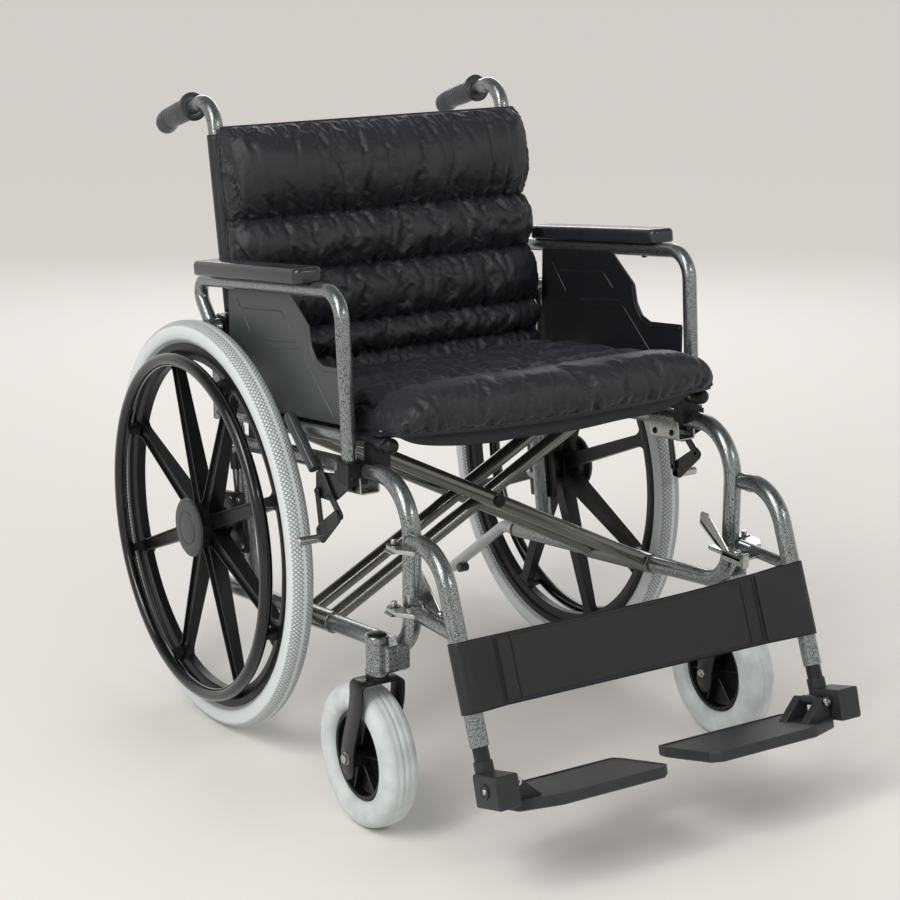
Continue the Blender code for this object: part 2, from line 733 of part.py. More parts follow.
def fold_rise():
    """Distance square to the sloping tubes from the lower tube to the rail."""
    return (RAIL_HEIGHT - LOWER_HEIGHT) * math.cos(SEAT_TILT)


def brace(hinge_x, bar_ys):
    """Two crossing tubes with a sleeve round the lower tube at one end and a seat rail at the other.

    The hinge is on the side of hinge_x and the rail on the other side.
    """
    side = 1.0 if hinge_x > 0 else -1.0
    rise = Vector((0.0, math.sin(SEAT_TILT), math.cos(SEAT_TILT))) * fold_rise()
    rail_x = -side * RAIL_X
    sleeve_ys = (bar_ys[0] - SLEEVE_OVER, bar_ys[1] + SLEEVE_OVER)
    sleeve_ends = [Vector((hinge_x, y, sloped(LOWER_HEIGHT, y))) for y in sleeve_ys]
    shape = rod(sleeve_ends[0], sleeve_ends[1], SLEEVE_RADIUS, 16)
    rail = rod(rail_point(rail_x, RAIL_FRONT), rail_point(rail_x, RAIL_REAR), RAIL_RADIUS, 12)
    cap_ends = (rail_point(rail_x, RAIL_FRONT - 0.010), rail_point(rail_x, RAIL_FRONT + 0.004))
    cap = rod(cap_ends[0], cap_ends[1], RAIL_RADIUS + 0.0007, 12)
    bars = []
    for y in bar_ys:
        low = Vector((hinge_x, y, sloped(LOWER_HEIGHT, y)))
        top = low + rise
        top.x = rail_x
        bars.append(rod(low, top - (top - low).normalized() * 0.002, BRACE_RADIUS))
    shape = fused(shape, *bars, rail, cap)
    bore_ends = (sleeve_ends[0] + (sleeve_ends[0] - sleeve_ends[1]).normalized() * 0.02,
                 sleeve_ends[1] + (sleeve_ends[1] - sleeve_ends[0]).normalized() * 0.02)
    return cut(shape, rod(bore_ends[0], bore_ends[1], FRAME_RADIUS + 0.0008, 16))


def pivot_centre(y_low):
    """Point of the brace's centre pivot in the plane of a bar that starts at y_low."""
    share = FRAME_X / (FRAME_X + RAIL_X)
    rise = Vector((0.0, math.sin(SEAT_TILT), math.cos(SEAT_TILT))) * fold_rise() * share
    return Vector((0.0, y_low, sloped(LOWER_HEIGHT, y_low))) + rise


def brace_pins(extra, reach):
    """Pivot pins along the fold axis, one through the front pair of bars and one through the rear."""
    forward = Vector((0.0, -math.cos(SEAT_TILT), math.sin(SEAT_TILT)))
    radius = 0.0045 + extra
    pins = []
    for outer, inner, direction in ((BRACE_A_Y[0], BRACE_B_Y[0], 1.0), (BRACE_A_Y[1], BRACE_B_Y[1], -1.0)):
        start = pivot_centre(inner) - forward * direction * (BRACE_RADIUS + reach)
        end = pivot_centre(outer) + forward * direction * (BRACE_RADIUS + reach)
        pins.append(rod(start, end, radius, 10))
    return pins


def brace_a():
    """Brace hinged on the left lower tube, with the right seat rail and both pivot pins."""
    forward = Vector((0.0, -math.cos(SEAT_TILT), math.sin(SEAT_TILT)))
    face = pivot_centre(BRACE_A_Y[0]) + forward * (BRACE_RADIUS - 0.003)
    button = rod(face, face + forward * 0.008, 0.0095, 12)
    return fused(brace(FRAME_X, BRACE_A_Y), *brace_pins(0.0, 0.003), button)


def brace_b():
    """Brace hinged on the right lower tube, with the left seat rail."""
    return cut(brace(-FRAME_X, BRACE_B_Y), *brace_pins(RUN, 0.012))


# Armrest

def arm_bar_z(y):
    """Height of the armrest's lower bar at y."""
    return ARM_BAR_REAR - math.tan(SEAT_TILT) * (y - ARM_REAR_POST_Y)


def armrest_tube():
    """Bent armrest loop with its lower bar and hinge eye."""
    foot_y, foot_z = arm_foot()
    hinge_y, hinge_z = ARM_HINGE
    points = ((ARM_X, foot_y, foot_z), (ARM_X, ARM_FRONT_Y, sloped(ARM_HEIGHT, ARM_FRONT_Y)),
              (ARM_X, ARM_REAR_Y, sloped(ARM_HEIGHT, ARM_REAR_Y)), (ARM_X, ARM_REAR_POST_Y, ARM_HEIGHT - ARM_KNEE_DROP),
              (ARM_X, ARM_REAR_POST_Y, ARM_BAR_REAR - ARM_RADIUS))
    loop = tube(rounded(points, (0.038, 0.022, 0.040)), ARM_RADIUS)
    join_y = foot_y + 0.003
    lower = rod((ARM_X, ARM_REAR_POST_Y, ARM_BAR_REAR), (ARM_X, join_y, arm_bar_z(join_y)), ARM_RADIUS - 0.0012)
    eye = rod_x(hinge_y, hinge_z, ARM_X - ARM_RADIUS, ARM_X + ARM_RADIUS, 0.0135, 14)
    bore = rod_x(hinge_y, hinge_z, ARM_X - 0.020, ARM_X + 0.020, ARM_PIN_RADIUS + RUN, 12)
    return cut(fused(loop, lower, eye), bore)


def arm_pad():
    """Long padded armrest top with rounded edges."""
    top = (arm_flat() + GAP) / math.cos(SEAT_TILT)
    outline = []
    for y in PAD_Y:
        outline.append((y, sloped(ARM_HEIGHT, y) + top))
    lift = PAD_THICKNESS
    ends = [(outline[0][0], outline[0][1]), (outline[1][0], outline[1][1]),
            (outline[1][0] + 0.003, outline[1][1] + lift), (outline[0][0] + 0.003, outline[0][1] + lift)]
    pad = slab(ends, *PAD_X)
    bevel = pad.modifiers.new("round", "BEVEL")
    bevel.width = 0.006
    bevel.segments = 2
    return pad


def skirt_guard():
    """Moulded side panel inside the armrest loop."""
    clear = 0.012

    def over_bar(y):
        return (y, arm_bar_z(y) + clear)

    outline = [over_bar(-0.004), (-0.004, sloped(ARM_HEIGHT, -0.004) - 0.004),
               (-0.190, sloped(ARM_HEIGHT, -0.190) - 0.004)]
    for y, drop in ((-0.249, 0.0212), (-0.256, 0.0472), (-0.270, 0.0642), (-0.290, 0.0702), (-0.366, 0.0612)):
        outline.append((y, ARM_HEIGHT - drop))
    outline.append(over_bar(-0.366))
    return slab(outline, *guard_x())


# Legrest

def tongue(z_low, start_y):
    """Flat ear of the hanger that reaches round the leg to the hinge pin."""
    pivot_x, pivot_y = HANGER_PIVOT
    z_high = z_low + TONGUE_THICKNESS
    arm = deck(((HANGER_X - 0.009, start_y - 0.028), (HANGER_X - 0.009, start_y - 0.0015),
                (0.2790, start_y - 0.0005), (0.2815, pivot_y - 0.004), (pivot_x + 0.0095, pivot_y - 0.001),
                (pivot_x + 0.0095, start_y - 0.008), (0.286, start_y - 0.028)), z_low, z_high)
    eye = rod((pivot_x, pivot_y, z_low), (pivot_x, pivot_y, z_high), 0.0100, 12)
    return arm, eye


def hanger():
    """Swing-away hanger: bent tube, lower bar, tongues, latch plate and telescoping bore."""
    start_y, start_z = HANGER_START
    points = ((HANGER_X, start_y, start_z), (HANGER_X, *HANGER_CORNER), hanger_point(HANGER_END))
    upper_z = HANGER_EARS[1] + GAP
    lower_z = HANGER_EARS[0] + GAP
    shape = fused(
        tube(rounded(points, (HANGER_BEND,), 5), HANGER_RADIUS),
        box((HANGER_X - 0.007, HANGER_X + 0.007), (-0.628, start_y), (lower_z - 0.010, lower_z + 0.0075)),
        *tongue(upper_z, start_y),
        *tongue(lower_z, start_y),
        box((0.2365, 0.2505), (-0.562, -0.488), (lower_z - 0.010, lower_z - 0.004)),
        box((0.2380, HANGER_X), (-0.562, -0.534), (lower_z - 0.009, lower_z - 0.005)),
        rod((*LATCH_PIVOT, lower_z - 0.008), (*LATCH_PIVOT, lower_z + 0.004), 0.003, 8),
    )
    pins = []
    for z in (upper_z, lower_z):
        pins.append(rod((*HANGER_PIVOT, z - 0.020), (*HANGER_PIVOT, z + 0.020), HANGER_PIN_RADIUS + RUN, 12))
    end = hanger_point(HANGER_END)
    bore = rod(end + hanger_down() * 0.010, end - hanger_down() * (EXTENSION_REACH + 0.030),
               EXTENSION_RADIUS + RUN, 12)
    return cut(shape, *pins, bore)


def latch_lever():
    """Zinc paddle that frees the hanger, turning on the latch plate."""
    low = HANGER_EARS[0] + GAP - 0.004 + GAP
    pivot_x, pivot_y = LATCH_PIVOT
    outline = ((pivot_y - 0.008, low), (pivot_y + 0.030, low), (pivot_y + 0.078, low + 0.030),
               (pivot_y + 0.076, low + 0.034), (pivot_y + 0.026, low + 0.0045), (pivot_y - 0.008, low + 0.0035))
    paddle = slab(outline, pivot_x - 0.006, pivot_x + 0.006)
    return cut(paddle, rod((pivot_x, pivot_y, low - 0.005), (pivot_x, pivot_y, low + 0.010), 0.003 + RUN, 10))


def clamp_seat():
    """Where the extension tube ends, inside the clamp block."""
    return hanger_point(0.134)


def extension_tube():
    """Inner tube that slides in the hanger and carries the footrest clamp."""
    return rod(hanger_point(HANGER_END) - hanger_down() * EXTENSION_REACH, clamp_seat(), EXTENSION_RADIUS, 12)


def ring_on_pin(along_low, along_high, radius, sides=10):
    """Round bar on the footplate's hinge axis."""
    return rod(foot_point(FOOT_HINGE[0], along_low, 0.0), foot_point(FOOT_HINGE[0], along_high, 0.0), radius, sides)


def foot_prism(corners, along_low, along_high):
    """Prism along the footplate's hinge with an outline of (x, up) corners."""
    return loft(([foot_point(x, along_low, up) for x, up in corners],
                 [foot_point(x, along_high, up) for x, up in corners]))


def foot_clamp():
    """Clamp block on the extension tube with a lug for the footplate's hinge and its round screw."""
    corners = ((CLAMP_X[0], -0.028), (CLAMP_X[1], -0.028), (CLAMP_X[1], 0.0145), (CLAMP_X[0], 0.0145))
    lug_x = FOOT_HINGE[0]
    lug = ((lug_x, -0.0060), (CLAMP_X[0] + 0.004, -0.0060), (CLAMP_X[0] + 0.004, 0.0060), (lug_x, 0.0060))
    seat = clamp_seat()
    block = fused(
        foot_prism(corners, -0.040, 0.015),
        rod(seat - hanger_down() * 0.040, seat + hanger_down() * 0.002, EXTENSION_RADIUS + 0.0020, 14),
        foot_prism(lug, -0.052, -0.022),
        ring_on_pin(-0.052, -0.022, 0.0068, 12),
        rod(foot_point(CLAMP_X[1] - 0.004, -0.0133, -0.005), foot_point(CLAMP_X[1] + 0.0025, -0.0133, -0.005),
            0.0098, 14),
    )
    bore_top = seat - hanger_down() * 0.070
    return cut(block, ring_on_pin(-0.090, 0.030, 0.0035 + RUN, 12),
               rod(bore_top, seat + hanger_down() * GAP, EXTENSION_RADIUS + GAP, 16))


def footplate_pin():
    """Hinge bolt of the footplate."""
    return fused(ring_on_pin(-0.071, 0.000, 0.0035), ring_on_pin(-0.0045, 0.000, 0.0060, 8))


def footplate():
    """Moulded footplate with two knuckles that rise to its hinge."""
    top = -FOOT_DROP
    low = top - FOOT_THICKNESS
    edge = CLAMP_X[0] - 0.0015
    outline = ((FOOT_INNER + 0.004, FOOT_REAR), (edge - 0.008, FOOT_REAR), (edge, FOOT_REAR + 0.010),
               (edge, FOOT_FRONT - 0.026), (0.205, FOOT_FRONT), (FOOT_INNER + 0.014, FOOT_FRONT),
               (FOOT_INNER, FOOT_FRONT - 0.014), (FOOT_INNER, FOOT_REAR + 0.020))
    plate = loft(([foot_point(x, along, low) for x, along in outline],
                  [foot_point(x, along, top) for x, along in outline]))
    wedge = ((0.212, top - 0.004), (edge, top - 0.004), (edge - 0.0005, 0.000), (FOOT_HINGE[0] + 0.0042, 0.0045),
             (FOOT_HINGE[0] - 0.004, 0.0060))
    shape = fused(plate, foot_prism(wedge, -0.068, -0.0525), foot_prism(wedge, -0.0215, -0.0060))
    return cut(shape, ring_on_pin(-0.090, 0.030, 0.0035 + RUN, 12))


# Wheel lock

def brake_bracket():
    """Clamp under the upper tube with the two fixed pins of the wheel lock."""
    y_low, y_high = LOCK_BRACKET_Y
    underside = sloped(UPPER_HEIGHT, y_high) - FRAME_RADIUS
    reach = (y_low - 0.02, y_high + 0.02)
    shape = fused(
        box((FRAME_X - 0.010, 0.2964), (y_low, y_high),
            (UPPER_HEIGHT - LOCK_BRACKET_DROP, underside + 0.006)),
        rod_x(*LOCK_LEVER_PIVOT, 0.294, LOCK_LEVER_X[1] + 0.0002, LOCK_PIN_RADIUS, 8),
        rod_x(*LOCK_LINK_PIVOT, 0.294, LOCK_LEVER_X[1] + 0.0002, LOCK_PIN_RADIUS, 8),
    )
    tube_run = rod((FRAME_X, reach[0], sloped(UPPER_HEIGHT, reach[0])),
                   (FRAME_X, reach[1], sloped(UPPER_HEIGHT, reach[1])), bored(FRAME_RADIUS, GAP, 14), 14)
    return cut(shape, tube_run)


def brake_lever():
    """Lock lever: flat arm, hand grip and the pin that drives the shoe plate."""
    grip_low = Vector((LOCK_GRIP_X, *LOCK_GRIP_LOW))
    grip_top = Vector((LOCK_GRIP_X, *LOCK_GRIP_TOP))
    shape = fused(
        bar(LOCK_LEVER_END, LOCK_LEVER_PIVOT, 0.011, *LOCK_LEVER_X),
        bar(LOCK_LEVER_PIVOT, LOCK_LEVER_TOP, 0.011, *LOCK_LEVER_X),
        rod(grip_low, grip_top, 0.0088, 10),
        rod_x(*LOCK_LEVER_END, LOCK_LEVER_X[0] + 0.001, LOCK_PLATE_X[1] + 0.001, LOCK_PIN_RADIUS, 8),
    )
    return cut(shape, rod_x(*LOCK_LEVER_PIVOT, 0.290, 0.310, LOCK_PIN_RADIUS + RUN, 10))


def brake_link():
    """Short link that hangs the shoe plate from the bracket."""
    shape = fused(
        bar(LOCK_LINK_END, LOCK_LINK_PIVOT, 0.010, *LOCK_LEVER_X),
        rod_x(*LOCK_LINK_END, LOCK_LEVER_X[0] + 0.001, LOCK_PLATE_X[1] + 0.001, LOCK_PIN_RADIUS, 8),
    )
    return cut(shape, rod_x(*LOCK_LINK_PIVOT, 0.290, 0.310, LOCK_PIN_RADIUS + RUN, 10))


def brake_shoe():
    """Coupler plate with the round shoe bar across the tread."""
    end_y, end_z = LOCK_LEVER_END
    link_y, link_z = LOCK_LINK_END
    outline = ((end_y - 0.007, end_z), (end_y - 0.004, end_z - 0.008), (link_y - 0.012, link_z - 0.016),
               (link_y + 0.004, link_z - 0.016), (link_y + 0.007, link_z), (link_y, link_z + 0.008),
               (end_y + 0.004, end_z + 0.008))
    shape = fused(slab(outline, *LOCK_PLATE_X),
                  rod_x(*LOCK_SHOE, LOCK_PLATE_X[0], WHEEL_X + TYRE_HALF + 0.004, LOCK_SHOE_RADIUS, 10))
    holes = grouped(rod_x(*LOCK_LEVER_END, 0.295, 0.310, LOCK_PIN_RADIUS + 0.0012, 10),
                    rod_x(*LOCK_LINK_END, 0.295, 0.310, LOCK_PIN_RADIUS + RUN, 10))
    return cut(shape, holes)


def anti_tip():
    """Bent tube in the rear end of the left lower tube, with a rubber foot."""
    start_y = LOWER_END_Y - 0.040
    end = Vector((FRAME_X, *TIP_END))
    elbow = Vector((FRAME_X, TIP_ELBOW_Y, sloped(LOWER_HEIGHT, TIP_ELBOW_Y)))
    path = rounded(((FRAME_X, start_y, sloped(LOWER_HEIGHT, start_y)), elbow, end), (0.030,), 4)
    run = (end - elbow).normalized()
    foot = end - run * 0.032 + Vector((0.0, run.z, -run.y)) * 0.0125
    collar = Vector((FRAME_X, LOWER_END_Y + 0.001, sloped(LOWER_HEIGHT, LOWER_END_Y + 0.001)))
    back = Vector((0.0, math.cos(SEAT_TILT), -math.sin(SEAT_TILT)))
    return fused(tube(path, TIP_RADIUS), rod(foot - Vector((0.009, 0, 0)), foot + Vector((0.009, 0, 0)), 0.008, 10),
                 rod(collar, collar + back * 0.006, FRAME_RADIUS, 12))


# Upholstery

def pillow(columns, rows, surface):
    """Closed cushion from a surface function of (u, v, side), u and v from -1 to 1, side +1 or -1.

    Both sides share the outline, where the function must give one point.
    """
    builder = bmesh.new()
    grids = {}
    for side in (1, -1):
        for row in range(rows + 1):
            for column in range(columns + 1):
                u = -1 + 2 * column / columns
                v = -1 + 2 * row / rows
                edge = column in (0, columns) or row in (0, rows)
                key = (0 if edge else side, column, row)
                if key not in grids:
                    grids[key] = builder.verts.new(surface(u, v, 0 if edge else side))
    for side in (1, -1):
        for row in range(rows):
            for column in range(columns):
                corners = []
                for step_column, step_row in ((0, 0), (1, 0), (1, 1), (0, 1)):
                    c, r = column + step_column, row + step_row
                    edge = c in (0, columns) or r in (0, rows)
                    corners.append(grids[(0 if edge else side, c, r)])
                builder.faces.new(corners if side > 0 else corners[::-1])
    return shape_from(builder)


def spread(value, power):
    """Even steps drawn towards both ends, to give a cushion's edge its round."""
    return math.copysign(1 - (1 - abs(value)) ** power, value)


def seat_cushion():
    """Plump seat cushion with side-to-side channels."""
    middle_y = (SEAT_FRONT + SEAT_REAR) / 2
    half_y = (SEAT_REAR - SEAT_FRONT) / 2
    lift = RAIL_RADIUS + SLING_THICKNESS + 4 * GAP

    def surface(u, v, side):
        across = spread(u, 1.7)
        along = spread(v, 1.5)
        fullness = (1 - abs(across) ** 6) ** 0.5 * (1 - abs(along) ** 8) ** 0.5
        y = middle_y + half_y * along * (1 - 0.012 * abs(across) ** 3)
        x = SEAT_HALF * across * (1 - 0.018 * (1 - math.cos(SEAT_CHANNELS * math.pi * (along + 1))) / 2)
        base = sloped(RAIL_HEIGHT, y) + lift
        seam = base + 0.40 * SEAT_THICKNESS
        channel = abs(math.sin(SEAT_CHANNELS * math.pi * (along + 1) / 2)) ** 0.6
        crown = 0.60 * SEAT_THICKNESS * fullness * (0.76 + 0.24 * channel)
        if side > 0:
            return (x, y, seam + crown)
        if side < 0:
            belly = 0.40 * SEAT_THICKNESS + SLING_SAG * math.cos(math.pi * x / (2 * RAIL_X))
            return (x, y, seam - belly * min(1.0, fullness * 1.6))
        return (x, y, seam)

    return pillow(12, 26, surface)


def back_axis(height):
    """Point in the middle of the back, on the line of the canes, at a distance above its foot."""
    up = Vector((0.0, UPRIGHT_LEAN, 1.0)).normalized()
    return Vector((0.0, upright_y(BACK_BOTTOM), BACK_BOTTOM)) + up * height


def back_cushion():
    """Back cushion of five stuffed rolls, narrow at the seat and tall at the top."""
    front = Vector((0.0, -1.0, UPRIGHT_LEAN)).normalized()
    total = sum(BACK_ROLLS)
    clear = CANE_RADIUS + SLING_THICKNESS + 3 * GAP

    def roll(height):
        """How full the cushion is at a height: 0 at a seam, 1 in the middle of a roll."""
        foot = 0.0
        for size in BACK_ROLLS:
            if height <= foot + size:
                return math.sin(math.pi * (height - foot) / size) ** 0.55 if 0 < height - foot < size else 0.0
            foot += size
        return 0.0

    def surface(u, v, side):
        across = spread(u, 1.7)
        height = total * (v + 1) / 2
        full = roll(height)
        end = min(1.0, (height / 0.020) ** 0.5 if height > 0 else 0.0,
                  ((total - height) / 0.024) ** 0.5 if height < total else 0.0)
        edge = (1 - abs(across) ** 5) ** 0.5
        x = BACK_HALF * across * (0.965 + 0.035 * full)
        depth = clear + BACK_THICKNESS * 0.16
        if side > 0:
            depth += BACK_THICKNESS * 0.84 * edge * end * (0.62 + 0.38 * full)
        if side < 0:
            depth -= BACK_THICKNESS * 0.16 * min(1.0, end * 1.5) * max(0.0, 1 - abs(x / (CANE_X - CANE_RADIUS)) ** 8)
        return back_axis(height) + front * depth + Vector((x, 0.0, 0.0))

    return pillow(10, 30, surface)


def back_sling():
    """Sling between the canes with a pocket round each, open where the armrests' clamps sit."""
    up = Vector((0.0, UPRIGHT_LEAN, 1.0)).normalized()
    front = Vector((0.0, -1.0, UPRIGHT_LEAN)).normalized()
    low, high = 0.018, sum(BACK_ROLLS) - 0.008
    pocket = CANE_RADIUS + 2 * GAP + SLING_THICKNESS
    sweep = 1.5 * math.pi + math.asin((pocket - SLING_THICKNESS) / pocket)
    angles = [math.pi / 2 - sweep * step / 13 for step in range(14)]
    section = [(CANE_X + pocket * math.cos(a), pocket * math.sin(a)) for a in angles]
    section += [(-x, depth) for x, depth in reversed(section)]
    rings = []
    for height in (low, high):
        rings.append([back_axis(height) + front * depth + Vector((x, 0.0, 0.0)) for x, depth in section])
    tools = []
    wrap = CANE_RADIUS + 0.004 + 2 * GAP
    for side in (1, -1):
        across = Vector((side * CANE_X, 0.0, 0.0))
        tools.append(rod(back_axis(low) + across - up * 0.03, back_axis(high) + across + up * 0.03,
                         bored(CANE_RADIUS, GAP, 14), 14))
        reach = sorted((side * (CANE_X - wrap), side * (CANE_X + 0.030)))
        tools.append(box(reach, (-0.03, 0.06), (BACK_BOTTOM - 0.02, ARM_HINGE[1] + 0.019)))
    return cut(loft(rings), *tools)


def seat_sling():
    """Seat sling laid over both rails, a little slack in the middle."""
    inner = RAIL_RADIUS + 2 * GAP
    outer = inner + SLING_THICKNESS
    section = []
    for radius, order in ((outer, 1), (inner, -1)):
        side = []
        for step in range(7):
            angle = math.pi * (0.89 - 0.39 * step / 6)
            side.append((-RAIL_X + radius * math.cos(angle), radius * math.sin(angle)))
        for step in range(1, 8):
            share = step / 8
            side.append((-RAIL_X + 2 * RAIL_X * share, radius - SLING_SAG * math.sin(math.pi * share)))
        for step in range(7):
            angle = math.pi * (0.50 - 0.39 * step / 6)
            side.append((RAIL_X + radius * math.cos(angle), radius * math.sin(angle)))
        section += side[::order]
    rings = []
    for y in (RAIL_FRONT + 0.004, RAIL_REAR - 0.004):
        rings.append([(x, y + up * math.sin(SEAT_TILT), sloped(RAIL_HEIGHT, y) + up * math.cos(SEAT_TILT))
                      for x, up in section])
    return loft(rings)


def calf_strap():
    """Webbing band behind the calves, looped round both hangers."""
    inner = HANGER_RADIUS + 2 * GAP
    outer = inner + SLING_THICKNESS
    rings = []
    for z in (STRAP_BOTTOM, STRAP_TOP):
        centre = hanger_point(z)
        ring = []
        for radius, order in ((outer, 1), (inner, -1)):
            side = []
            for step in range(9):
                angle = math.radians(-80.0 + 170.0 * step / 8)
                side.append((centre.x + radius * math.cos(angle), radius * math.sin(angle)))
            for step in range(9):
                angle = math.radians(90.0 + 170.0 * step / 8)
                side.append((-centre.x + radius * math.cos(angle), radius * math.sin(angle)))
            ring += side[::order]
        tilt = hanger_down()
        square = Vector((0.0, math.cos(HANGER_LEAN), -math.sin(HANGER_LEAN)))
        middle = Vector((0.0, centre.y, centre.z))
        rings.append([middle + Vector((x, 0.0, 0.0)) + square * back + tilt * 0.0 for x, back in ring])
    return loft(rings)


# Assembly

def clear_scene():
    """Remove whatever the file holds."""
    for item in list(bpy.data.objects):
        bpy.data.objects.remove(item)
    for block in (bpy.data.meshes, bpy.data.materials):
        for item in list(block):
            block.remove(item)


def make_bodies():
    """Empties of every body, parents first."""
    body("wheelchair", None, (0.0, 0.0, 0.0))
    hinge_y = BRACE_A_Y[0]
    lower = (FRAME_X, hinge_y, sloped(LOWER_HEIGHT, hinge_y))
    body("frame_left", "wheelchair", (0.0, 0.0, 0.0))
    body("brace_a_body", "frame_left", lower)
    body("brace_b_body", "brace_a_body", pivot_centre(hinge_y))
    body("frame_right", "brace_b_body", (-lower[0], lower[1], lower[2]))
    for side in (LEFT, RIGHT):
        frame = "frame_" + side
        body("wheel_" + side, frame, flipped((WHEEL_X, 0.0, WHEEL_RADIUS), side))
        body("castor_swivel_" + side, frame, flipped((CASTOR_X, SWIVEL_Y, HOUSING_BOTTOM), side))
        body("castor_wheel_" + side, "castor_swivel_" + side, flipped((CASTOR_X, axle_y(), CASTOR_RADIUS), side))
        body("armrest_" + side, frame, flipped((ARM_X, *ARM_HINGE), side))
        body("hanger_body_" + side, frame, flipped((*HANGER_PIVOT, HANGER_EARS[0]), side))
        body("latch_" + side, "hanger_body_" + side, flipped((*LATCH_PIVOT, HANGER_EARS[0]), side))
        body("extension_" + side, "hanger_body_" + side, flipped(hanger_point(HANGER_END), side))
        body("foot_" + side, "extension_" + side, flipped(FOOT_HINGE, side))
        body("lock_lever_" + side, frame, flipped((LOCK_LEVER_X[0], *LOCK_LEVER_PIVOT), side))
        body("lock_link_" + side, frame, flipped((LOCK_LEVER_X[0], *LOCK_LINK_PIVOT), side))
        body("lock_shoe_" + side, "lock_link_" + side, flipped((LOCK_PLATE_X[0], *LOCK_LINK_END), side))


def build_side(side):
    """Every piece that one side of the chair has."""
    frame = "frame_" + side
    for make, part, look, owner in (
        (side_frame, "side_frame", HAMMERTONE, frame),
        (back_cane, "back_cane", HAMMERTONE, frame),
        (handle_grip, "handle_grip", RUBBER, frame),
        (rear_saddle, "rear_saddle", BLACK_PLASTIC, frame),
        (arm_socket, "arm_socket", BLACK_PLASTIC, frame),
        (arm_clamp, "arm_clamp", BLACK_PLASTIC, frame),
        (brake_bracket, "brake_bracket", BLACK_PLASTIC, frame),
        (tyre, "tyre", GREY_TYRE, "wheel_" + side),
        (mag_wheel, "mag_wheel", BLACK_PLASTIC, "wheel_" + side),
        (wheel_axle, "wheel_axle", GREY_PLASTIC, "wheel_" + side),
        (handrim, "handrim", BLACK_GLOSS, "wheel_" + side),
        (castor_fork, "castor_fork", BLACK_PLASTIC, "castor_swivel_" + side),
        (castor_tyre, "castor_tyre", GREY_TYRE, "castor_wheel_" + side),
        (castor_hub, "castor_hub", BLACK_PLASTIC, "castor_wheel_" + side),
        (armrest_tube, "armrest_tube", HAMMERTONE, "armrest_" + side),
        (arm_pad, "arm_pad", PAD_SKIN, "armrest_" + side),
        (skirt_guard, "skirt_guard", GREY_PLASTIC, "armrest_" + side),
        (hanger, "hanger", HAMMERTONE, "hanger_body_" + side),
        (latch_lever, "latch_lever", ZINC, "latch_" + side),
        (extension_tube, "extension_tube", BLACK_GLOSS, "extension_" + side),
        (foot_clamp, "foot_clamp", GREY_PLASTIC, "extension_" + side),
        (footplate_pin, "footplate_pin", BLACK_PLASTIC, "foot_" + side),
        (footplate, "footplate", GREY_PLASTIC, "foot_" + side),
        (brake_lever, "brake_lever", BLACK_PLASTIC, "lock_lever_" + side),
        (brake_link, "brake_link", BLACK_PLASTIC, "lock_link_" + side),
        (brake_shoe, "brake_shoe", BLACK_PLASTIC, "lock_shoe_" + side),
    ):
        sided(make(), part, side, look, owner)


def build():
    """The whole wheelchair."""
    clear_scene()
    make_bodies()
    for side in (LEFT, RIGHT):
        build_side(side)
    place(brace_a(), "brace_a", GUNMETAL, "brace_a_body")
    place(brace_b(), "brace_b", GUNMETAL, "brace_b_body")
    place(anti_tip(), "anti_tip", ZINC, "frame_left")
    place(seat_sling(), "seat_sling", NYLON, "brace_b_body")
    place(seat_cushion(), "seat_cushion", NYLON, "brace_b_body")
    place(back_sling(), "back_sling", NYLON, "frame_left")
    place(back_cushion(), "back_cushion", NYLON, "frame_left")
    place(calf_strap(), "calf_strap", NYLON, "hanger_body_left")
    BODIES["wheelchair"].location = (0.0, CENTRE_Y, 0.0)


build()
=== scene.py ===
"""Look of a wide folding wheelchair: fine surfaces, materials, light and camera over its fixed frame.

Lengths are in metres. Points are written from the rear axle: x to the sitter's left, y to the rear, z up from
the floor; placed() moves them to the model's origin.
"""

import json
import math

import bmesh
import bpy
import numpy as np
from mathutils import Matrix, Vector

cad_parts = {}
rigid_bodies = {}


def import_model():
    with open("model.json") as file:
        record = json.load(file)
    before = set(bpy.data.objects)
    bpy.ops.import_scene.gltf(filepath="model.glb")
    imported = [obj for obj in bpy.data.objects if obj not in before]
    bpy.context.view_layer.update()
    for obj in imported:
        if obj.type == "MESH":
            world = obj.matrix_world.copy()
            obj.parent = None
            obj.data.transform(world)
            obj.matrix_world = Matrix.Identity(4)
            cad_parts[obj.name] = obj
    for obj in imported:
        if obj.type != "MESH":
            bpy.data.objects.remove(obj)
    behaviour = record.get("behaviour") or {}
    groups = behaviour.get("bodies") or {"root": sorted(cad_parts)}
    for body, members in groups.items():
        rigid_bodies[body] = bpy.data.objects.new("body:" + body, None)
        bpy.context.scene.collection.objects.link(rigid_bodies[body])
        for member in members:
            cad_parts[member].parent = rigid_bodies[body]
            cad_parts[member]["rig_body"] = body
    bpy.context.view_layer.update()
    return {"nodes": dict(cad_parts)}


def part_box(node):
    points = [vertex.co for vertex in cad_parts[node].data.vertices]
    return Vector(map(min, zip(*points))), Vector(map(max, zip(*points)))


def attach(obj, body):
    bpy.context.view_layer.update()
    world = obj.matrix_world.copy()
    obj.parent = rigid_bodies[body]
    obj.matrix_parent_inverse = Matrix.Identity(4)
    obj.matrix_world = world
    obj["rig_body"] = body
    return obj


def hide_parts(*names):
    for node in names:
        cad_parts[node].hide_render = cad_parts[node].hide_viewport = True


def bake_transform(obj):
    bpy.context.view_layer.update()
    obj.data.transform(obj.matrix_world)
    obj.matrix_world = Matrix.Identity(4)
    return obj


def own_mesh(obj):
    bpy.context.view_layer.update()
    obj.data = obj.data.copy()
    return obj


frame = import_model()

TYRE_LOW, TYRE_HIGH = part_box("tyre_left")
ORIGIN = np.array([0.0, (TYRE_LOW.y + TYRE_HIGH.y) / 2, 0.0])

# Sizes of the frame

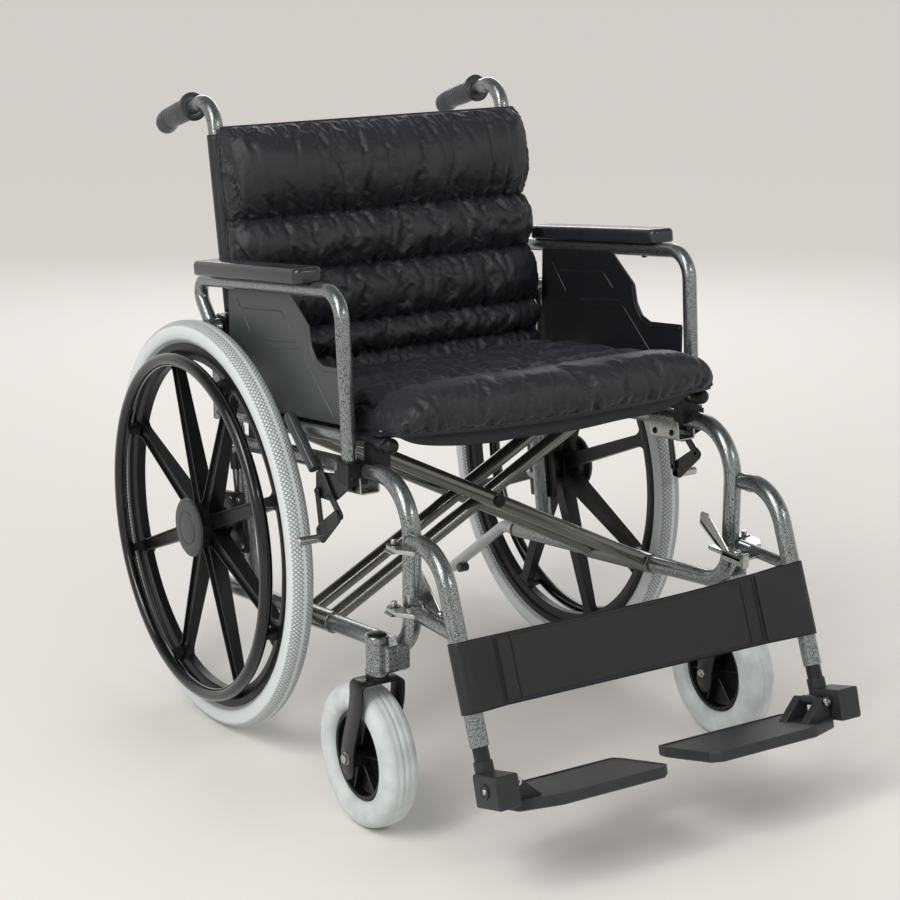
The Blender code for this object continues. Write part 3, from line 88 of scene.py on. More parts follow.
SEAT_TILT = math.radians(7.0)
FRAME_X, FRAME_RADIUS = 0.264, 0.0125
LEG_Y, UPPER_HEIGHT, LOWER_HEIGHT = -0.505, 0.4266, 0.1945
LOWER_END_Y = 0.045
UPRIGHT_Y, UPRIGHT_LEAN, UPRIGHT_TOP = -0.071, 0.17, 0.449
WHEEL_RADIUS, WHEEL_X, TYRE_HALF, RIM_HALF, RIM_DEPTH = 0.305, 0.315, 0.018, 0.0125, 0.022
HUB_INNER, HUB_OUTER, HUB_RADIUS, CAP_RADIUS = 0.288, 0.344, 0.034, 0.044
HANDRIM_RING, HANDRIM_RADIUS, HANDRIM_X = 0.2505, 0.0095, 0.3485
SPOKE_ANGLES = math.radians(22.5) + np.arange(8) * math.pi / 4
CASTOR_RADIUS, CASTOR_HALF, CASTOR_RIM, CASTOR_X = 0.100, 0.025, 0.061, 0.301
SWIVEL_Y, CASTOR_Y = -0.476, -0.450
HOUSING_BOTTOM, HOUSING_TOP, HOUSING_RADIUS = 0.2225, 0.2775, 0.016
RAIL_X, RAIL_RADIUS, RAIL_HEIGHT, RAIL_FRONT, RAIL_REAR = 0.256, 0.010, 0.4647, -0.440, -0.030
BRACE_RADIUS, SLEEVE_RADIUS, SLEEVE_OVER = 0.011, 0.0155, 0.016
BRACE_A_Y, BRACE_B_Y = (-0.311, -0.176), (-0.276, -0.211)
CANE_RADIUS, CANE_X, CANE_JOG_TOP, CANE_CORNER, CANE_BEND = 0.0115, 0.249, 0.500, 0.923, 0.040
HANDLE_SLOPE, HANDLE_LENGTH, GRIP_LENGTH = math.radians(16.7), 0.165, 0.105
ARM_X, ARM_RADIUS, ARM_HEIGHT, ARM_FRONT_Y, ARM_REAR_Y = 0.2855, 0.0104, 0.6692, -0.3618, 0.089
ARM_POST_FOOT, ARM_KNEE_Z, ARM_REAR_POST_Y = (-0.3797, 0.4885), 0.575, 0.012
ARM_HINGE, ARM_BAR_REAR = (0.030, 0.594), 0.472
PAD_X, PAD_Y, PAD_THICKNESS = (0.2716, 0.3156), (-0.295, 0.029), 0.022
HANGER_X, HANGER_RADIUS, HANGER_START, HANGER_CORNER = 0.2715, 0.0125, (-0.5190, 0.4110), (-0.5870, 0.4205)
HANGER_BEND, HANGER_LEAN, HANGER_END = 0.068, math.radians(22.3), 0.187
EXTENSION_RADIUS, EXTENSION_REACH = 0.0105, 0.110
PLATE_TILT, FOOT_HINGE, FOOT_DROP = math.radians(16.0), (0.2515, -0.7404, 0.1574), 0.0228
FOOT_THICKNESS, FOOT_REAR, FOOT_FRONT, FOOT_INNER = 0.015, -0.108, 0.025, 0.034
CLAMP_X = (0.2590, 0.2930)
SLING, SLING_SAG = 0.0018, 0.010
SEAT_FRONT, SEAT_REAR, SEAT_HALF, SEAT_THICKNESS = -0.484, -0.080, 0.255, 0.064
BACK_HALF, BACK_BOTTOM, BACK_THICKNESS = 0.260, 0.493, 0.064
BACK_ROLLS = (0.045, 0.045, 0.086, 0.080, 0.134)
STRAP_TOP, STRAP_BOTTOM, STRAP_RISE, STRAP_WAVE = 0.3105, 0.226, 0.010, 0.0012
CLOTH_GAP, PAD_GAP = 0.0006, 0.0012
CUSHION_COLUMNS, SWELLING_FRAMES = 127, 20
ACROSS, UPWARDS = (1.0, 0.0, 0.0), (0.0, 0.0, 1.0)
WHEEL_AXLE, CASTOR_AXLE = (WHEEL_X, 0.0, WHEEL_RADIUS), (CASTOR_X, CASTOR_Y, CASTOR_RADIUS)


# Lines of the chair

def sloped(height, y):
    """Height at y of a line that falls to the rear by the seat tilt."""
    return height - math.tan(SEAT_TILT) * y


def upright_y(z):
    """Place of the leaning upright and cane at a height."""
    return UPRIGHT_Y + UPRIGHT_LEAN * z


def hanger_y(z):
    """Place of the hanger's straight run at a height."""
    return HANGER_CORNER[0] - math.tan(HANGER_LEAN) * (HANGER_CORNER[1] - z)


def hanger_point(z):
    """Centre of the hanger's straight run at a height."""
    return np.array([HANGER_X, hanger_y(z), z])


HANGER_DOWN = np.array([0.0, -math.sin(HANGER_LEAN), -math.cos(HANGER_LEAN)])
HANGER_FRONT = np.array([0.0, -math.cos(HANGER_LEAN), math.sin(HANGER_LEAN)])
SEAT_UP = np.array([0.0, math.sin(SEAT_TILT), math.cos(SEAT_TILT)])
SEAT_AHEAD = np.array([0.0, -math.cos(SEAT_TILT), math.sin(SEAT_TILT)])
BACK_UP = np.array([0.0, UPRIGHT_LEAN, 1.0]) / math.hypot(1.0, UPRIGHT_LEAN)
BACK_AHEAD = np.array([0.0, -1.0, UPRIGHT_LEAN]) / math.hypot(1.0, UPRIGHT_LEAN)
HANDLE = np.array([0.0, math.cos(HANDLE_SLOPE), -math.sin(HANDLE_SLOPE)])
FOOT_AHEAD = np.array([0.0, -math.cos(PLATE_TILT), math.sin(PLATE_TILT)])
FOOT_UP = np.array([0.0, math.sin(PLATE_TILT), math.cos(PLATE_TILT)])


def foot_point(x, along, up):
    """Point of the footplate's own frame: x, forwards along the plate, and square to it."""
    return np.array([x, FOOT_HINGE[1], FOOT_HINGE[2]]) + FOOT_AHEAD * along + FOOT_UP * up


def unit(vectors):
    """Vectors at length one."""
    vectors = np.asarray(vectors, float)
    return vectors / np.linalg.norm(vectors, axis=-1, keepdims=True)


# Surfaces. Each is (points, quads, caps): an array of places, an array of four indices a face, and end faces.

def grid_quads(rows, columns, round_rows=False, round_columns=False):
    """Faces of a grid of points, row by row, closed on itself where it is round."""
    row, column = np.meshgrid(np.arange(rows if round_rows else rows - 1),
                              np.arange(columns if round_columns else columns - 1), indexing="ij")
    next_row, next_column = (row + 1) % rows, (column + 1) % columns
    corners = [row * columns + column, next_row * columns + column,
               next_row * columns + next_column, row * columns + next_column]
    return np.stack(corners, -1).reshape(-1, 4)


def outward(points, quads, caps):
    """The closed surface with its faces out: all are turned if its volume, summed over face fans, is negative."""
    fans = [quads[:, [0, 1, 2]], quads[:, [0, 2, 3]]]
    for cap in caps:
        cap = np.asarray(cap)
        fans.append(np.stack([np.full(len(cap) - 2, cap[0]), cap[1:-1], cap[2:]], -1))
    fan = np.concatenate([part for part in fans if len(part)])
    a, b, c = points[fan[:, 0]], points[fan[:, 1]], points[fan[:, 2]]
    if np.einsum("ij,ij->i", a, np.cross(b, c)).sum() < 0:
        quads, caps = quads[:, ::-1], [cap[::-1] for cap in caps]
    return points, quads, caps


def surface(grid, round_rows=False, round_columns=True, capped=True):
    """Closed surface of a grid of points whose first and last rows are capped."""
    rows, columns = grid.shape[:2]
    caps = []
    if capped and not round_rows:
        caps = [np.arange(columns)[::-1], np.arange(columns) + (rows - 1) * columns]
    return outward(grid.reshape(-1, 3), grid_quads(rows, columns, round_rows, round_columns), caps)


def joined(*shapes):
    """Several surfaces as one."""
    points, quads, caps, start = [], [], [], 0
    for shape in shapes:
        points.append(shape[0])
        quads.append(shape[1] + start)
        caps += [np.asarray(cap) + start for cap in shape[2]]
        start += len(shape[0])
    return np.concatenate(points), np.concatenate(quads), caps


def flipped(shape):
    """The surface on the other side of the chair: x changes sign and the faces turn."""
    return shape[0] * (-1.0, 1.0, 1.0), shape[1][:, ::-1], [cap[::-1] for cap in shape[2]]


def bent(points, radii, steps=14):
    """Path through the points, each inner corner turned by an arc of its radius about the corner's bisector."""
    points = [np.asarray(point, float) for point in points]
    path = [points[0][None]]
    for before, corner, after, radius in zip(points, points[1:], points[2:], radii):
        into, out = unit(before - corner), unit(after - corner)
        angle = math.acos(float(into @ out))
        centre = corner + unit(into + out) * radius / math.sin(angle / 2)
        first = corner + into * radius / math.tan(angle / 2) - centre
        last = corner + out * radius / math.tan(angle / 2) - centre
        share = np.linspace(0, 1, steps + 1)[:, None]
        sweep = math.pi - angle
        path.append(centre + (first * np.sin((1 - share) * sweep) + last * np.sin(share * sweep)) / math.sin(sweep))
    path.append(points[-1][None])
    return np.concatenate(path)


def swept(path, section, aside=(1.0, 0.0, 0.0)):
    """Profile carried along a path: each ring is the path's point plus the profile's two numbers along two
    directions square to the mean of the steps on either side, the first also square to the fixed direction."""
    path = np.asarray(path, float)
    step = unit(np.diff(path, axis=0))
    heading = unit(np.concatenate([step[:1], step[:-1] + step[1:], step[-1:]]))
    first = unit(np.cross(heading, aside))
    second = np.cross(heading, first)
    section = np.broadcast_to(section, (len(path),) + np.shape(section)[-2:])
    rings = path[:, None] + first[:, None] * section[..., :1] + second[:, None] * section[..., 1:]
    return surface(rings)


def circle(radius, sides=28, squash=1.0):
    """Round profile, its second number scaled."""
    angle = np.linspace(0, 2 * math.pi, sides, endpoint=False)
    return np.stack([radius * np.cos(angle), radius * squash * np.sin(angle)], -1)


def pipe(path, radius, aside=(1.0, 0.0, 0.0), sides=28, ease=0.0008):
    """Round tube along a path with a small chamfer at both ends."""
    path = np.asarray(path, float)
    head, tail = unit(path[1] - path[0]), unit(path[-1] - path[-2])
    path = np.concatenate([path[:1], path[:1] + head * ease, path[1:-1], path[-1:] - tail * ease, path[-1:]])
    sizes = np.full(len(path), 1.0)
    sizes[[0, -1]] = 1.0 - ease / radius
    return swept(path, circle(radius, sides)[None] * sizes[:, None, None], aside)


def turned(profile, origin, direction, steps=32, ring=False):
    """Profile of (distance along the direction, radius) turned about a line through the origin."""
    profile = np.asarray(profile, float)
    direction = unit(direction)
    first = unit(np.cross(direction, (0.0, 0.0, 1.0) if abs(direction[2]) < 0.9 else (0.0, 1.0, 0.0)))
    second = np.cross(direction, first)
    angle = np.linspace(0, 2 * math.pi, steps, endpoint=False)
    around = first * np.cos(angle)[:, None] + second * np.sin(angle)[:, None]
    grid = np.asarray(origin, float) + direction * profile[:, None, :1] + around[None] * profile[:, None, 1:]
    return surface(grid, round_rows=ring)


def block(origin, axes, low, high, ease=0.001):
    """Brick between two corners given along three axes, its edges cut at 45 degrees.

    It is a swept outline: the four sides with cut corners, drawn in by the same cut at both ends."""
    axes = np.asarray(axes, float)
    (x0, y0, z0), (x1, y1, z1) = low, high
    e = ease
    outline = np.array([(x0 + e, y0), (x1 - e, y0), (x1, y0 + e), (x1, y1 - e),
                        (x1 - e, y1), (x0 + e, y1), (x0, y1 - e), (x0, y0 + e)])
    middle = np.array([(x0 + x1) / 2, (y0 + y1) / 2])
    shrink = 1 - 2 * e / np.array([x1 - x0, y1 - y0])
    inner = middle + (outline - middle) * shrink
    rows = [np.column_stack([ring, np.full(8, z)]) for ring, z in ((inner, z0), (outline, z0 + e),
                                                                    (outline, z1 - e), (inner, z1))]
    return surface(np.asarray(origin, float) + np.stack(rows) @ axes)


PLAIN_AXES = np.eye(3)


def brick(x, y, z, ease=0.001):
    """Brick between three pairs of limits."""
    return block((0, 0, 0), PLAIN_AXES, (x[0], y[0], z[0]), (x[1], y[1], z[1]), ease)


def screw(place, direction, radius=0.0045, height=0.0022):
    """Domed screw head with its socket: a turned quarter ellipse down to the rim of a small hole."""
    angle = np.linspace(0, 1.15, 6)
    dome = np.column_stack([height * np.sin(angle), radius * np.cos(angle)])
    profile = np.concatenate([[(-0.001, radius)], dome, [(height * 0.35, radius * 0.36), (height * 0.3, 0.0003)]])
    return turned(profile, place, direction, 16)


# Finished pieces

def linear(text):
    """Linear light of an sRGB hex colour, with full alpha."""
    value = np.array([int(text[start:start + 2], 16) for start in (0, 2, 4)]) / 255
    return [*np.where(value <= 0.04045, value / 12.92, ((value + 0.055) / 1.055) ** 2.4), 1.0]


def linked(name, data):
    """Object of some data, at the origin of the scene."""
    made = bpy.data.objects.new(name, data)
    bpy.context.scene.collection.objects.link(made)
    return made


def placed(name, shape, material, body, stands_for=(), crease=35.0):
    """Object of a surface, smooth but for edges sharper than the crease, moved to the model's origin."""
    mesh = bpy.data.meshes.new(name)
    faces = shape[1].tolist() + [list(map(int, cap)) for cap in shape[2]]
    mesh.from_pydata((shape[0] + ORIGIN).tolist(), [], faces)
    mesh.shade_smooth()
    mesh.set_sharp_from_angle(angle=math.radians(crease))
    mesh.materials.append(material)
    made = linked(name, mesh)
    if body:
        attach(made, body)
    for node in stands_for:
        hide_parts(node)
    return made


def paired(name, shape, material, body, stands_for=(), crease=35.0):
    """The left piece and its flipped copy on the right. A body or node name takes the side's name at its end."""
    pair = []
    for side, own in (("left", shape), ("right", flipped(shape))):
        nodes = [node + "_" + side for node in stands_for]
        pair.append(placed(name + "_" + side, own, material, body + "_" + side, nodes, crease))
    return pair


def refined(node, material, width=0.0008, angle=28.0):
    """Copy of a frame node with its flat faces made whole and its edges rounded by a bevel."""
    for side in ("left", "right"):
        source = frame["nodes"][node + "_" + side]
        mesh = source.data.copy()
        mesh.materials.clear()
        mesh.materials.append(material)
        builder = bmesh.new()
        builder.from_mesh(mesh)
        bmesh.ops.remove_doubles(builder, verts=builder.verts, dist=0.00002)
        bmesh.ops.dissolve_limit(builder, angle_limit=math.radians(1.0), verts=builder.verts, edges=builder.edges)
        builder.to_mesh(mesh)
        builder.free()
        mesh.shade_smooth()
        mesh.set_sharp_from_angle(angle=math.radians(angle))
        made = linked(node + "_fine_" + side, mesh)
        edge = made.modifiers.new("edge", "BEVEL")
        edge.width, edge.segments, edge.limit_method = width, 2, "ANGLE"
        edge.angle_limit, edge.harden_normals = math.radians(angle), True
        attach(made, source["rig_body"])
        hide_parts(node + "_" + side)


# Materials

def fill(tree, node, inputs):
    """Sets inputs of a shader node, by name or number, as values or as links."""
    for name, value in inputs.items():
        if isinstance(value, bpy.types.NodeSocket):
            tree.links.new(value, node.inputs[name])
        else:
            node.inputs[name].default_value = value


def put(tree, kind, inputs=None, **settings):
    """Adds a shader node: its settings by name, and its inputs by name or number."""
    made = tree.nodes.new(kind)
    for name, value in settings.items():
        setattr(made, name, value)
    fill(tree, made, inputs or {})
    return made


def begun(name, colour, roughness, metallic=0.0):
    """Material with one surface shader at its base colour, roughness and metallic value."""
    material = bpy.data.materials.new(name)
    material.use_nodes = True
    tree = material.node_tree
    shader = tree.nodes["Principled BSDF"]
    fill(tree, shader, {"Base Color": linear(colour), "Roughness": roughness, "Metallic": metallic})
    return material, tree, shader


def hammertone_paint():
    """Hammered enamel: silver paint that pools into 1.4 mm cells with darker skins between them."""
    material, tree, shader = begun("hammertone_enamel", "8C918F", 0.30, 0.85)
    where = put(tree, "ShaderNodeTexCoord").outputs["Object"]
    cells = put(tree, "ShaderNodeTexVoronoi", {"Vector": where, "Scale": 700.0, "Randomness": 1.0}, feature="F1")
    fine = put(tree, "ShaderNodeTexNoise", {"Vector": where, "Scale": 1000.0, "Detail": 2.0})
    mixed = put(tree, "ShaderNodeMath", {0: cells.outputs["Distance"], 1: fine.outputs["Fac"]}, operation="MULTIPLY")
    speck = put(tree, "ShaderNodeMapRange", {"Value": mixed.outputs[0], "From Min": 0.14, "From Max": 0.42})
    colour = put(tree, "ShaderNodeMix", {0: speck.outputs[0], 6: linear("A6AEAD"), 7: linear("2C3030")},
                 data_type="RGBA")
    rough = put(tree, "ShaderNodeMapRange", {"Value": speck.outputs[0], "To Min": 0.15, "To Max": 0.32})
    bump = put(tree, "ShaderNodeBump", {"Height": speck.outputs[0], "Strength": 0.22, "Distance": 0.0003},
               invert=True)
    fill(tree, shader, {"Base Color": colour.outputs[2], "Roughness": rough.outputs[0],
                        "Normal": bump.outputs[0], "Coat Weight": 0.35, "Coat Roughness": 0.12})
    return material


def plain_metal(name, colour, roughness, grain, metallic=0.85, coat=0.0):
    """Metal or enamel with a faint uneven sheen: its roughness and height follow noise of the grain's size."""
    material, tree, shader = begun(name, colour, roughness, metallic)
    where = put(tree, "ShaderNodeTexCoord").outputs["Object"]
    cloud = put(tree, "ShaderNodeTexNoise", {"Vector": where, "Scale": 1.0 / grain, "Detail": 4.0})
    rough = put(tree, "ShaderNodeMapRange", {"Value": cloud.outputs["Fac"], "From Min": 0.3, "From Max": 0.7,
                                             "To Min": roughness * 0.8, "To Max": roughness * 1.25})
    bump = put(tree, "ShaderNodeBump", {"Height": cloud.outputs["Fac"], "Strength": 0.06, "Distance": 0.0002})
    fill(tree, shader, {"Roughness": rough.outputs[0], "Normal": bump.outputs[0], "Coat Weight": coat,
                        "Coat Roughness": 0.08})
    return material


def moulded(name, colour, roughness, grain, depth, specular=0.5):
    """Moulded plastic or rubber: a leathery grain of rounded cells of the given size and depth."""
    material, tree, shader = begun(name, colour, roughness)
    where = put(tree, "ShaderNodeTexCoord").outputs["Object"]
    cells = put(tree, "ShaderNodeTexVoronoi", {"Vector": where, "Scale": 1.0 / grain}, feature="SMOOTH_F1")
    cloud = put(tree, "ShaderNodeTexNoise", {"Vector": where, "Scale": 0.05 / grain, "Detail": 3.0})
    shade = put(tree, "ShaderNodeMapRange", {"Value": cloud.outputs["Fac"], "From Min": 0.3, "From Max": 0.7,
                                             "To Min": 0.86, "To Max": 1.14})
    tint = put(tree, "ShaderNodeVectorMath", {0: linear(colour)[:3], "Scale": shade.outputs[0]}, operation="SCALE")
    rough = put(tree, "ShaderNodeMapRange", {"Value": cells.outputs["Distance"], "From Max": 0.6,
                                             "To Min": roughness * 0.85, "To Max": min(1.0, roughness * 1.2)})
    bump = put(tree, "ShaderNodeBump", {"Height": cells.outputs["Distance"], "Strength": 0.6, "Distance": depth},
               invert=True)
    fill(tree, shader, {"Base Color": tint.outputs[0], "Roughness": rough.outputs[0], "Normal": bump.outputs[0],
                        "Specular IOR Level": specular})
    return material


def woven_cloth(name, colour, sheen):
    """Coated nylon cloth: threads 0.5 mm apart are too fine to show here, so the weave is drawn at 1.4 mm.

    It gives a fine checked grain that takes the light at a flat angle, with soft clouds of wear."""
    material, tree, shader = begun(name, colour, 0.48)
    where = put(tree, "ShaderNodeTexCoord").outputs["Object"]
    parts = put(tree, "ShaderNodeSeparateXYZ", {"Vector": where})
    rise = put(tree, "ShaderNodeMath", {0: parts.outputs["Z"], 1: parts.outputs["Y"]}, operation="SUBTRACT")
    waves = []
    for line in (parts.outputs["X"], rise.outputs[0]):
        turn = put(tree, "ShaderNodeMath", {0: line, 1: 2 * math.pi / 0.0014}, operation="MULTIPLY")
        waves.append(put(tree, "ShaderNodeMath", {0: turn.outputs[0]}, operation="SINE").outputs[0])
    weave = put(tree, "ShaderNodeMath", {0: waves[0], 1: waves[1]}, operation="MULTIPLY")
    cloud = put(tree, "ShaderNodeTexNoise", {"Vector": where, "Scale": 18.0, "Detail": 4.0, "Roughness": 0.5})
    shade = put(tree, "ShaderNodeMapRange", {"Value": cloud.outputs["Fac"], "From Min": 0.3, "From Max": 0.7,
                                             "To Min": 0.88, "To Max": 1.12})
    tint = put(tree, "ShaderNodeVectorMath", {0: linear(colour)[:3], "Scale": shade.outputs[0]}, operation="SCALE")
    fine = put(tree, "ShaderNodeBump", {"Height": weave.outputs[0], "Strength": 0.25, "Distance": 0.0002})
    soft = put(tree, "ShaderNodeBump", {"Height": cloud.outputs["Fac"], "Strength": 0.18, "Distance": 0.004,
                                        "Normal": fine.outputs[0]})
    fill(tree, shader, {"Base Color": tint.outputs[0], "Normal": soft.outputs[0], "Sheen Weight": sheen,
                        "Sheen Roughness": 0.35, "Sheen Tint": linear("98A2B4"), "Specular IOR Level": 0.42})
    return material


def tread_rubber(colour, centre_y, centre_z, around, pitch):
    """Grey tyre rubber with a tread of diamonds.

    The angle round the axle and the distance from the tyre's middle line give two sets of slanting grooves, and
    a plain band lies either side of a raised middle line. The grooves are painted darker as painted shade."""
    material, tree, shader = begun("grey_tyre_rubber", colour, 0.62)
    where = put(tree, "ShaderNodeTexCoord").outputs["Object"]
    parts = put(tree, "ShaderNodeSeparateXYZ", {"Vector": where})
    back = put(tree, "ShaderNodeMath", {0: parts.outputs["Y"], 1: centre_y}, operation="SUBTRACT").outputs[0]
    rise = put(tree, "ShaderNodeMath", {0: parts.outputs["Z"], 1: centre_z}, operation="SUBTRACT").outputs[0]
    turn = put(tree, "ShaderNodeMath", {0: back, 1: rise}, operation="ARCTAN2").outputs[0]
    side = put(tree, "ShaderNodeMath", {0: parts.outputs["X"]}, operation="ABSOLUTE").outputs[0]
    off = put(tree, "ShaderNodeMath", {0: side, 1: WHEEL_X}, operation="SUBTRACT").outputs[0]
    across = put(tree, "ShaderNodeMath", {0: off}, operation="ABSOLUTE").outputs[0]
    spun = put(tree, "ShaderNodeMath", {0: turn, 1: float(around) / 2}, operation="MULTIPLY").outputs[0]
    shifted = put(tree, "ShaderNodeMath", {0: across, 1: math.pi / pitch}, operation="MULTIPLY").outputs[0]
    slants = []
    for operation in ("ADD", "SUBTRACT"):
        phase = put(tree, "ShaderNodeMath", {0: spun, 1: shifted}, operation=operation).outputs[0]
        wave = put(tree, "ShaderNodeMath", {0: phase}, operation="SINE").outputs[0]
        slants.append(put(tree, "ShaderNodeMath", {0: wave}, operation="ABSOLUTE").outputs[0])
    knobs = put(tree, "ShaderNodeMath", {0: slants[0], 1: slants[1]}, operation="MINIMUM").outputs[0]
    blocks = put(tree, "ShaderNodeMapRange", {"Value": knobs, "From Min": 0.06, "From Max": 0.62},
                 interpolation_type="SMOOTHSTEP").outputs[0]
    near = put(tree, "ShaderNodeMapRange", {"Value": across, "From Min": 0.0022, "From Max": 0.0030,
                                            "To Min": 1.0, "To Max": 0.0}).outputs[0]
    line = put(tree, "ShaderNodeMath", {0: blocks, 1: near}, operation="MAXIMUM").outputs[0]
    away = put(tree, "ShaderNodeMapRange", {"Value": across, "From Min": 0.0150, "From Max": 0.0165}).outputs[0]
    height = put(tree, "ShaderNodeMath", {0: line, 1: away}, operation="MAXIMUM").outputs[0]
    cloud = put(tree, "ShaderNodeTexNoise", {"Vector": where, "Scale": 30.0, "Detail": 4.0}).outputs["Fac"]
    worn = put(tree, "ShaderNodeMath", {0: cloud, 1: 0.06, 2: -0.03}, operation="MULTIPLY_ADD").outputs[0]
    # Painted shade: where the tread is low, in the grooves, the colour is darker; the noise adds a faint random worn
    # tone.
    shade = put(tree, "ShaderNodeMapRange", {"Value": height, "To Min": 0.66, "To Max": 1.02}).outputs[0]
    groove_shade_and_wear = put(tree, "ShaderNodeMath", {0: shade, 1: worn}, operation="ADD").outputs[0]
    tint = put(tree, "ShaderNodeVectorMath", {0: linear(colour)[:3], "Scale": groove_shade_and_wear}, operation="SCALE")
    bump = put(tree, "ShaderNodeBump", {"Height": height, "Strength": 1.0, "Distance": 0.0022})
    fill(tree, shader, {"Base Color": tint.outputs[0], "Normal": bump.outputs[0]})
    return material


HAMMERTONE = hammertone_paint()
BRACE_METAL = plain_metal("brace_enamel", "74766F", 0.22, 0.0016, 0.85, 0.3)
ZINC = plain_metal("zinc_plate", "B4B6B2", 0.26, 0.004, 0.95)
STEEL = plain_metal("bright_steel", "C2C4C3", 0.2, 0.004, 1.0)
SATIN_TUBE = plain_metal("satin_alloy_tube", "B7BABB", 0.38, 0.003, 0.9)
BLACK_PLATE = plain_metal("black_zinc_plate", "1E1F20", 0.34, 0.004, 0.4, 0.1)
BLACK_PLASTIC = moulded("black_nylon_plastic", "0F1011", 0.34, 0.0009, 0.00008, 0.3)
FOOT_PLASTIC = moulded("footplate_plastic", "26292B", 0.42, 0.0012, 0.00012, 0.4)
CAP_PLASTIC = moulded("hub_cap_plastic", "3A3D40", 0.42, 0.0010, 0.00008)
GRIP_RUBBER = moulded("grip_rubber", "33373A", 0.20, 0.0008, 0.00003)
CASTOR_RUBBER = moulded("grey_castor_rubber", "C2C9C7", 0.6, 0.0016, 0.00008)
PAD_SKIN = moulded("soft_pad_skin", "2B2F32", 0.15, 0.0007, 0.00002)
NYLON = woven_cloth("woven_nylon", "1F2227", 0.24)
WEBBING = woven_cloth("dense_nylon_webbing", "181A1E", 0.10)
TYRE_RUBBER = tread_rubber("CFD6D5", float(ORIGIN[1]), WHEEL_RADIUS, 300, 0.0064)


def black_gloss():
    """Handrim enamel: deep black under a smooth clear coat."""
    material, tree, shader = begun("black_gloss_coat", "060607", 0.20)
    where = put(tree, "ShaderNodeTexCoord").outputs["Object"]
    cloud = put(tree, "ShaderNodeTexNoise", {"Vector": where, "Scale": 60.0, "Detail": 2.0})
    rough = put(tree, "ShaderNodeMapRange", {"Value": cloud.outputs["Fac"], "To Min": 0.16, "To Max": 0.28})
    fill(tree, shader, {"Roughness": rough.outputs[0], "Specular IOR Level": 0.25, "Coat Weight": 0.6,
                        "Coat Roughness": 0.04})
    return material


def guard_plastic():
    """Skirt guard plastic: a fine moulded grain, with painted shade that makes the inner face darker than the outer
    one.

    The face is told by the distance from the chair's middle, with the step inside the panel's thickness."""
    material, tree, shader = begun("grained_guard_plastic_painted_inner_shade", "3F4445", 0.40)
    where = put(tree, "ShaderNodeTexCoord").outputs["Object"]
    parts = put(tree, "ShaderNodeSeparateXYZ", {"Vector": where})
    side = put(tree, "ShaderNodeMath", {0: parts.outputs["X"]}, operation="ABSOLUTE").outputs[0]
    # Painted shade: the inner face, nearer the middle than this step, takes the darker colour as if it were out of
    # the light.
    outer = put(tree, "ShaderNodeMapRange", {"Value": side, "From Min": 0.2736, "From Max": 0.2746}).outputs[0]
    colour = put(tree, "ShaderNodeMix", {0: outer, 6: linear("181B1F"), 7: linear("3C4142")}, data_type="RGBA")
    cells = put(tree, "ShaderNodeTexVoronoi", {"Vector": where, "Scale": 900.0}, feature="SMOOTH_F1")
    bump = put(tree, "ShaderNodeBump", {"Height": cells.outputs["Distance"], "Strength": 0.5, "Distance": 0.00012},
               invert=True)
    fill(tree, shader, {"Base Color": colour.outputs[2], "Normal": bump.outputs[0]})
    return material


GLOSS, GUARD_PLASTIC = black_gloss(), guard_plastic()


# Side frame

def side_frame():
    """Bent tube, upright, castor housing with its rings and its bracket, the axle's stub, and the weld rings at both
    ends of the upright.
    """
    loop = bent(((FRAME_X, LOWER_END_Y, sloped(LOWER_HEIGHT, LOWER_END_Y)),
                 (FRAME_X, LEG_Y, sloped(LOWER_HEIGHT, LEG_Y)),
                 (FRAME_X, LEG_Y, sloped(UPPER_HEIGHT, LEG_Y)),
                 (FRAME_X, upright_y(UPPER_HEIGHT), sloped(UPPER_HEIGHT, upright_y(UPPER_HEIGHT)))), (0.055, 0.070))
    foot = (FRAME_X, upright_y(LOWER_HEIGHT + 0.003), LOWER_HEIGHT + 0.003)
    head = (FRAME_X, upright_y(UPRIGHT_TOP), UPRIGHT_TOP)
    housing = [(0.0, 0.0135), (0.0, 0.0152), (0.0012, HOUSING_RADIUS), (0.0065, HOUSING_RADIUS), (0.0075, 0.0148),
               (0.0455, 0.0148), (0.0465, HOUSING_RADIUS), (0.0538, HOUSING_RADIUS), (0.055, 0.0150),
               (0.055, 0.0135)]
    metal = joined(
        pipe(loop, FRAME_RADIUS),
        pipe((foot, head), FRAME_RADIUS),
        turned(housing, (CASTOR_X, SWIVEL_Y, HOUSING_BOTTOM), UPWARDS, 32),
        brick((FRAME_X, CASTOR_X), (SWIVEL_Y - 0.026, SWIVEL_Y + 0.011), (0.2300, 0.2670), 0.003),
        turned([(0.0, 0.0145), (HUB_INNER - 0.2595, 0.0145), (HUB_INNER - 0.2590, 0.0140)],
               (0.258, 0.0, WHEEL_RADIUS), ACROSS, 28),
    )
    welds = []
    for z in (LOWER_HEIGHT + 0.012, sloped(UPPER_HEIGHT, upright_y(UPPER_HEIGHT)) - 0.006):
        ring = np.linspace(0, 2 * math.pi, 33)
        place = np.array([FRAME_X, upright_y(z), z])
        path = place + np.stack([np.cos(ring) * 0.0125, np.sin(ring) * 0.0125,
                                 0.0025 * np.cos(2 * ring)], -1)
        welds.append(swept(path, circle(0.0020, 8), (0.0, 0.0, 1.0)))
    return metal, joined(*welds)


